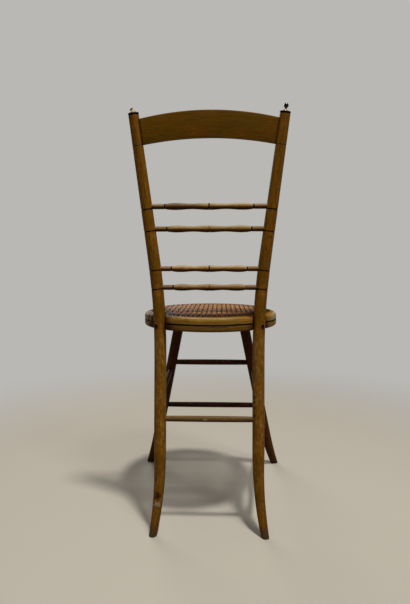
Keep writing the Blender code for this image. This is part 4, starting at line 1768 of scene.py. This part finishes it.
@dataclass
class Fixings:
    """Screws that hold the posts in the seat ring, and the wax that fills their holes."""

    lines: ChairLines
    shop: Workshop
    screw_rise: float = 0.0090
    plug_radius: float = 0.0045
    plug_sink: float = 0.0002
    plug_sides: int = 24
    plug_steps: tuple[tuple[float, float], ...] = (
        (-0.0040, 1.0), (-0.0002, 1.0), (0.0002, 0.8), (0.00035, 0.4),
    )

    def build(self) -> None:
        """Make the plugs and dress the screws."""
        height = self.lines.ring_bottom + self.screw_rise
        turn = math.radians(self.lines.screw_bearing)
        out = self.lines.post_radius(height) - self.plug_sink
        for side in Side:
            way = Vector((side.value * math.sin(turn), math.cos(turn), 0.0))
            place = self.lines.post_axis(height, side) + way * out
            sections = [
                Section(place + way * along, self.plug_radius * share, along)
                for along, share in self.plug_steps
            ]
            plug = round_member("wax_plug_" + side.word, sections, self.plug_sides)
            self.shop.dress(plug, WAX, "post_plug_" + side.word)
            self.shop.cover(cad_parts["post_screw_" + side.word], STEEL)


# Studio

class Lamp(NamedTuple):
    """A soft round lamp: its name, place, diameter and power in watts."""

    name: str
    place: Point
    size: float
    watts: float


@dataclass
class Studio:
    """Plain pale floor, soft lamps and the camera at the photograph's viewing angle."""

    floor_colour: str = "#989184"
    room_colour: str = "#B9B8B5"
    mirrored_colour: str = "#4A443C"
    floor_size: float = 40.0
    fade_start: float = 0.6
    fade_end: float = 1.7
    fill_colour: str = "#FFFFFF"
    fill_strength: float = 0.24
    lamps: tuple[Lamp, ...] = (
        Lamp("soft_key", (-0.45, 0.93, 3.49), 0.25, 125.0),
        Lamp("soft_side", (-1.33, 1.93, 3.21), 0.8, 42.0),
        Lamp("soft_front", (1.4, -2.6, 2.2), 2.2, 60.0),
    )
    lamp_aim: Point = (0.0, 0.03, 0.45)
    camera_place: Point = (-0.0266, 1.2359, 0.6283)
    camera_yaw: float = -0.0338
    camera_pitch: float = 0.0854
    camera_roll: float = -0.0008
    focal_pixels: float = 470.99
    image_height: float = 604.0
    sensor: float = 24.0

    def build(self) -> None:
        """Make the stage, the lamps and the camera."""
        bpy.context.scene.view_settings.view_transform = "Standard"
        self.build_camera()
        self.build_floor()
        self.build_room()
        for lamp in self.lamps:
            self.build_lamp(lamp)

    def build_camera(self) -> None:
        """Stand the camera where the photograph was taken from."""
        data = bpy.data.cameras.new("photograph_camera")
        data.sensor_fit = "VERTICAL"
        data.sensor_height = self.sensor
        data.lens = self.focal_pixels / self.image_height * self.sensor
        data.clip_start = 0.01
        camera = stand("photograph_camera", data)
        aim = Euler((math.pi / 2 - self.camera_pitch, 0.0, math.pi - self.camera_yaw)).to_matrix()
        turn = aim @ Matrix.Rotation(self.camera_roll, 3, "Z")
        camera.matrix_world = Matrix.Translation(self.camera_place) @ turn.to_4x4()
        bpy.context.scene.camera = camera

    def build_floor(self) -> None:
        """Lay a pale floor that fades into the room far from the chair."""
        floor = stand("studio_floor", bpy.data.meshes.new("studio_floor"))
        with opened(floor.data) as form:
            bmesh.ops.create_grid(form, x_segments=8, y_segments=8, size=self.floor_size / 2)
        material, tree, shader = blank_material("matt_studio_paper")
        shader.inputs["Base Color"].default_value = linear(self.floor_colour)
        shader.inputs["Roughness"].default_value = 0.9
        shader.inputs["Specular IOR Level"].default_value = 0.1
        place = add(tree, "ShaderNodeTexCoord", output="Object")
        far = add(tree, "ShaderNodeVectorMath", {0: place}, "Value", operation="LENGTH")
        limits = {"Value": far, "From Min": self.fade_start, "From Max": self.fade_end}
        fade = add(tree, "ShaderNodeMapRange", limits, interpolation_type="SMOOTHSTEP")
        glow = add(tree, "ShaderNodeEmission", {"Color": linear(self.room_colour), "Strength": 1.0})
        mixed = add(tree, "ShaderNodeMixShader", {0: fade, 1: shader.outputs[0], 2: glow})
        tree.links.new(mixed, tree.nodes["Material Output"].inputs["Surface"])
        floor.data.materials.append(material)

    def build_room(self) -> None:
        """Light the chair evenly from all round, show the pale room behind it and mirror a dim one."""
        world = bpy.data.worlds.new("pale_room")
        world.use_nodes = True
        tree = world.node_tree
        fill = {"Color": linear(self.fill_colour), "Strength": self.fill_strength}
        mixed = add(tree, "ShaderNodeBackground", fill)
        for ray, colour in (("Is Camera Ray", self.room_colour), ("Is Glossy Ray", self.mirrored_colour)):
            seen = add(tree, "ShaderNodeLightPath", output=ray)
            view = add(tree, "ShaderNodeBackground", {"Color": linear(colour)})
            mixed = add(tree, "ShaderNodeMixShader", {0: seen, 1: mixed, 2: view})
        tree.links.new(mixed, tree.nodes["World Output"].inputs["Surface"])
        bpy.context.scene.world = world

    def build_lamp(self, lamp: Lamp) -> None:
        """Hang a soft round lamp, turned towards the chair.

        Args:
            lamp: Its name, place, size and power.
        """
        data = bpy.data.lights.new(lamp.name, "AREA")
        data.shape = "DISK"
        data.size = lamp.size
        data.energy = lamp.watts
        thing = stand(lamp.name, data)
        thing.location = lamp.place
        thing.rotation_mode = "QUATERNION"
        thing.rotation_quaternion = (Vector(self.lamp_aim) - Vector(lamp.place)).to_track_quat("-Z", "Y")


def main() -> None:
    """Build the studio and the chair's sub-assemblies in order."""
    logging.basicConfig(level=logging.INFO, format="%(name)s %(message)s")
    Studio().build()
    low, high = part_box("seat_ring")
    seat_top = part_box("cane_panel")[1].z
    lines = ChairLines(seat_axis=(low.y + high.y) / 2, seat_top=seat_top, ring_bottom=low.z)
    shop = Workshop()
    for assembly in (BackFrame, CanedSeat, LegFrame, Fixings):
        assembly(lines, shop).build()


if __name__ == "__main__":
    main()
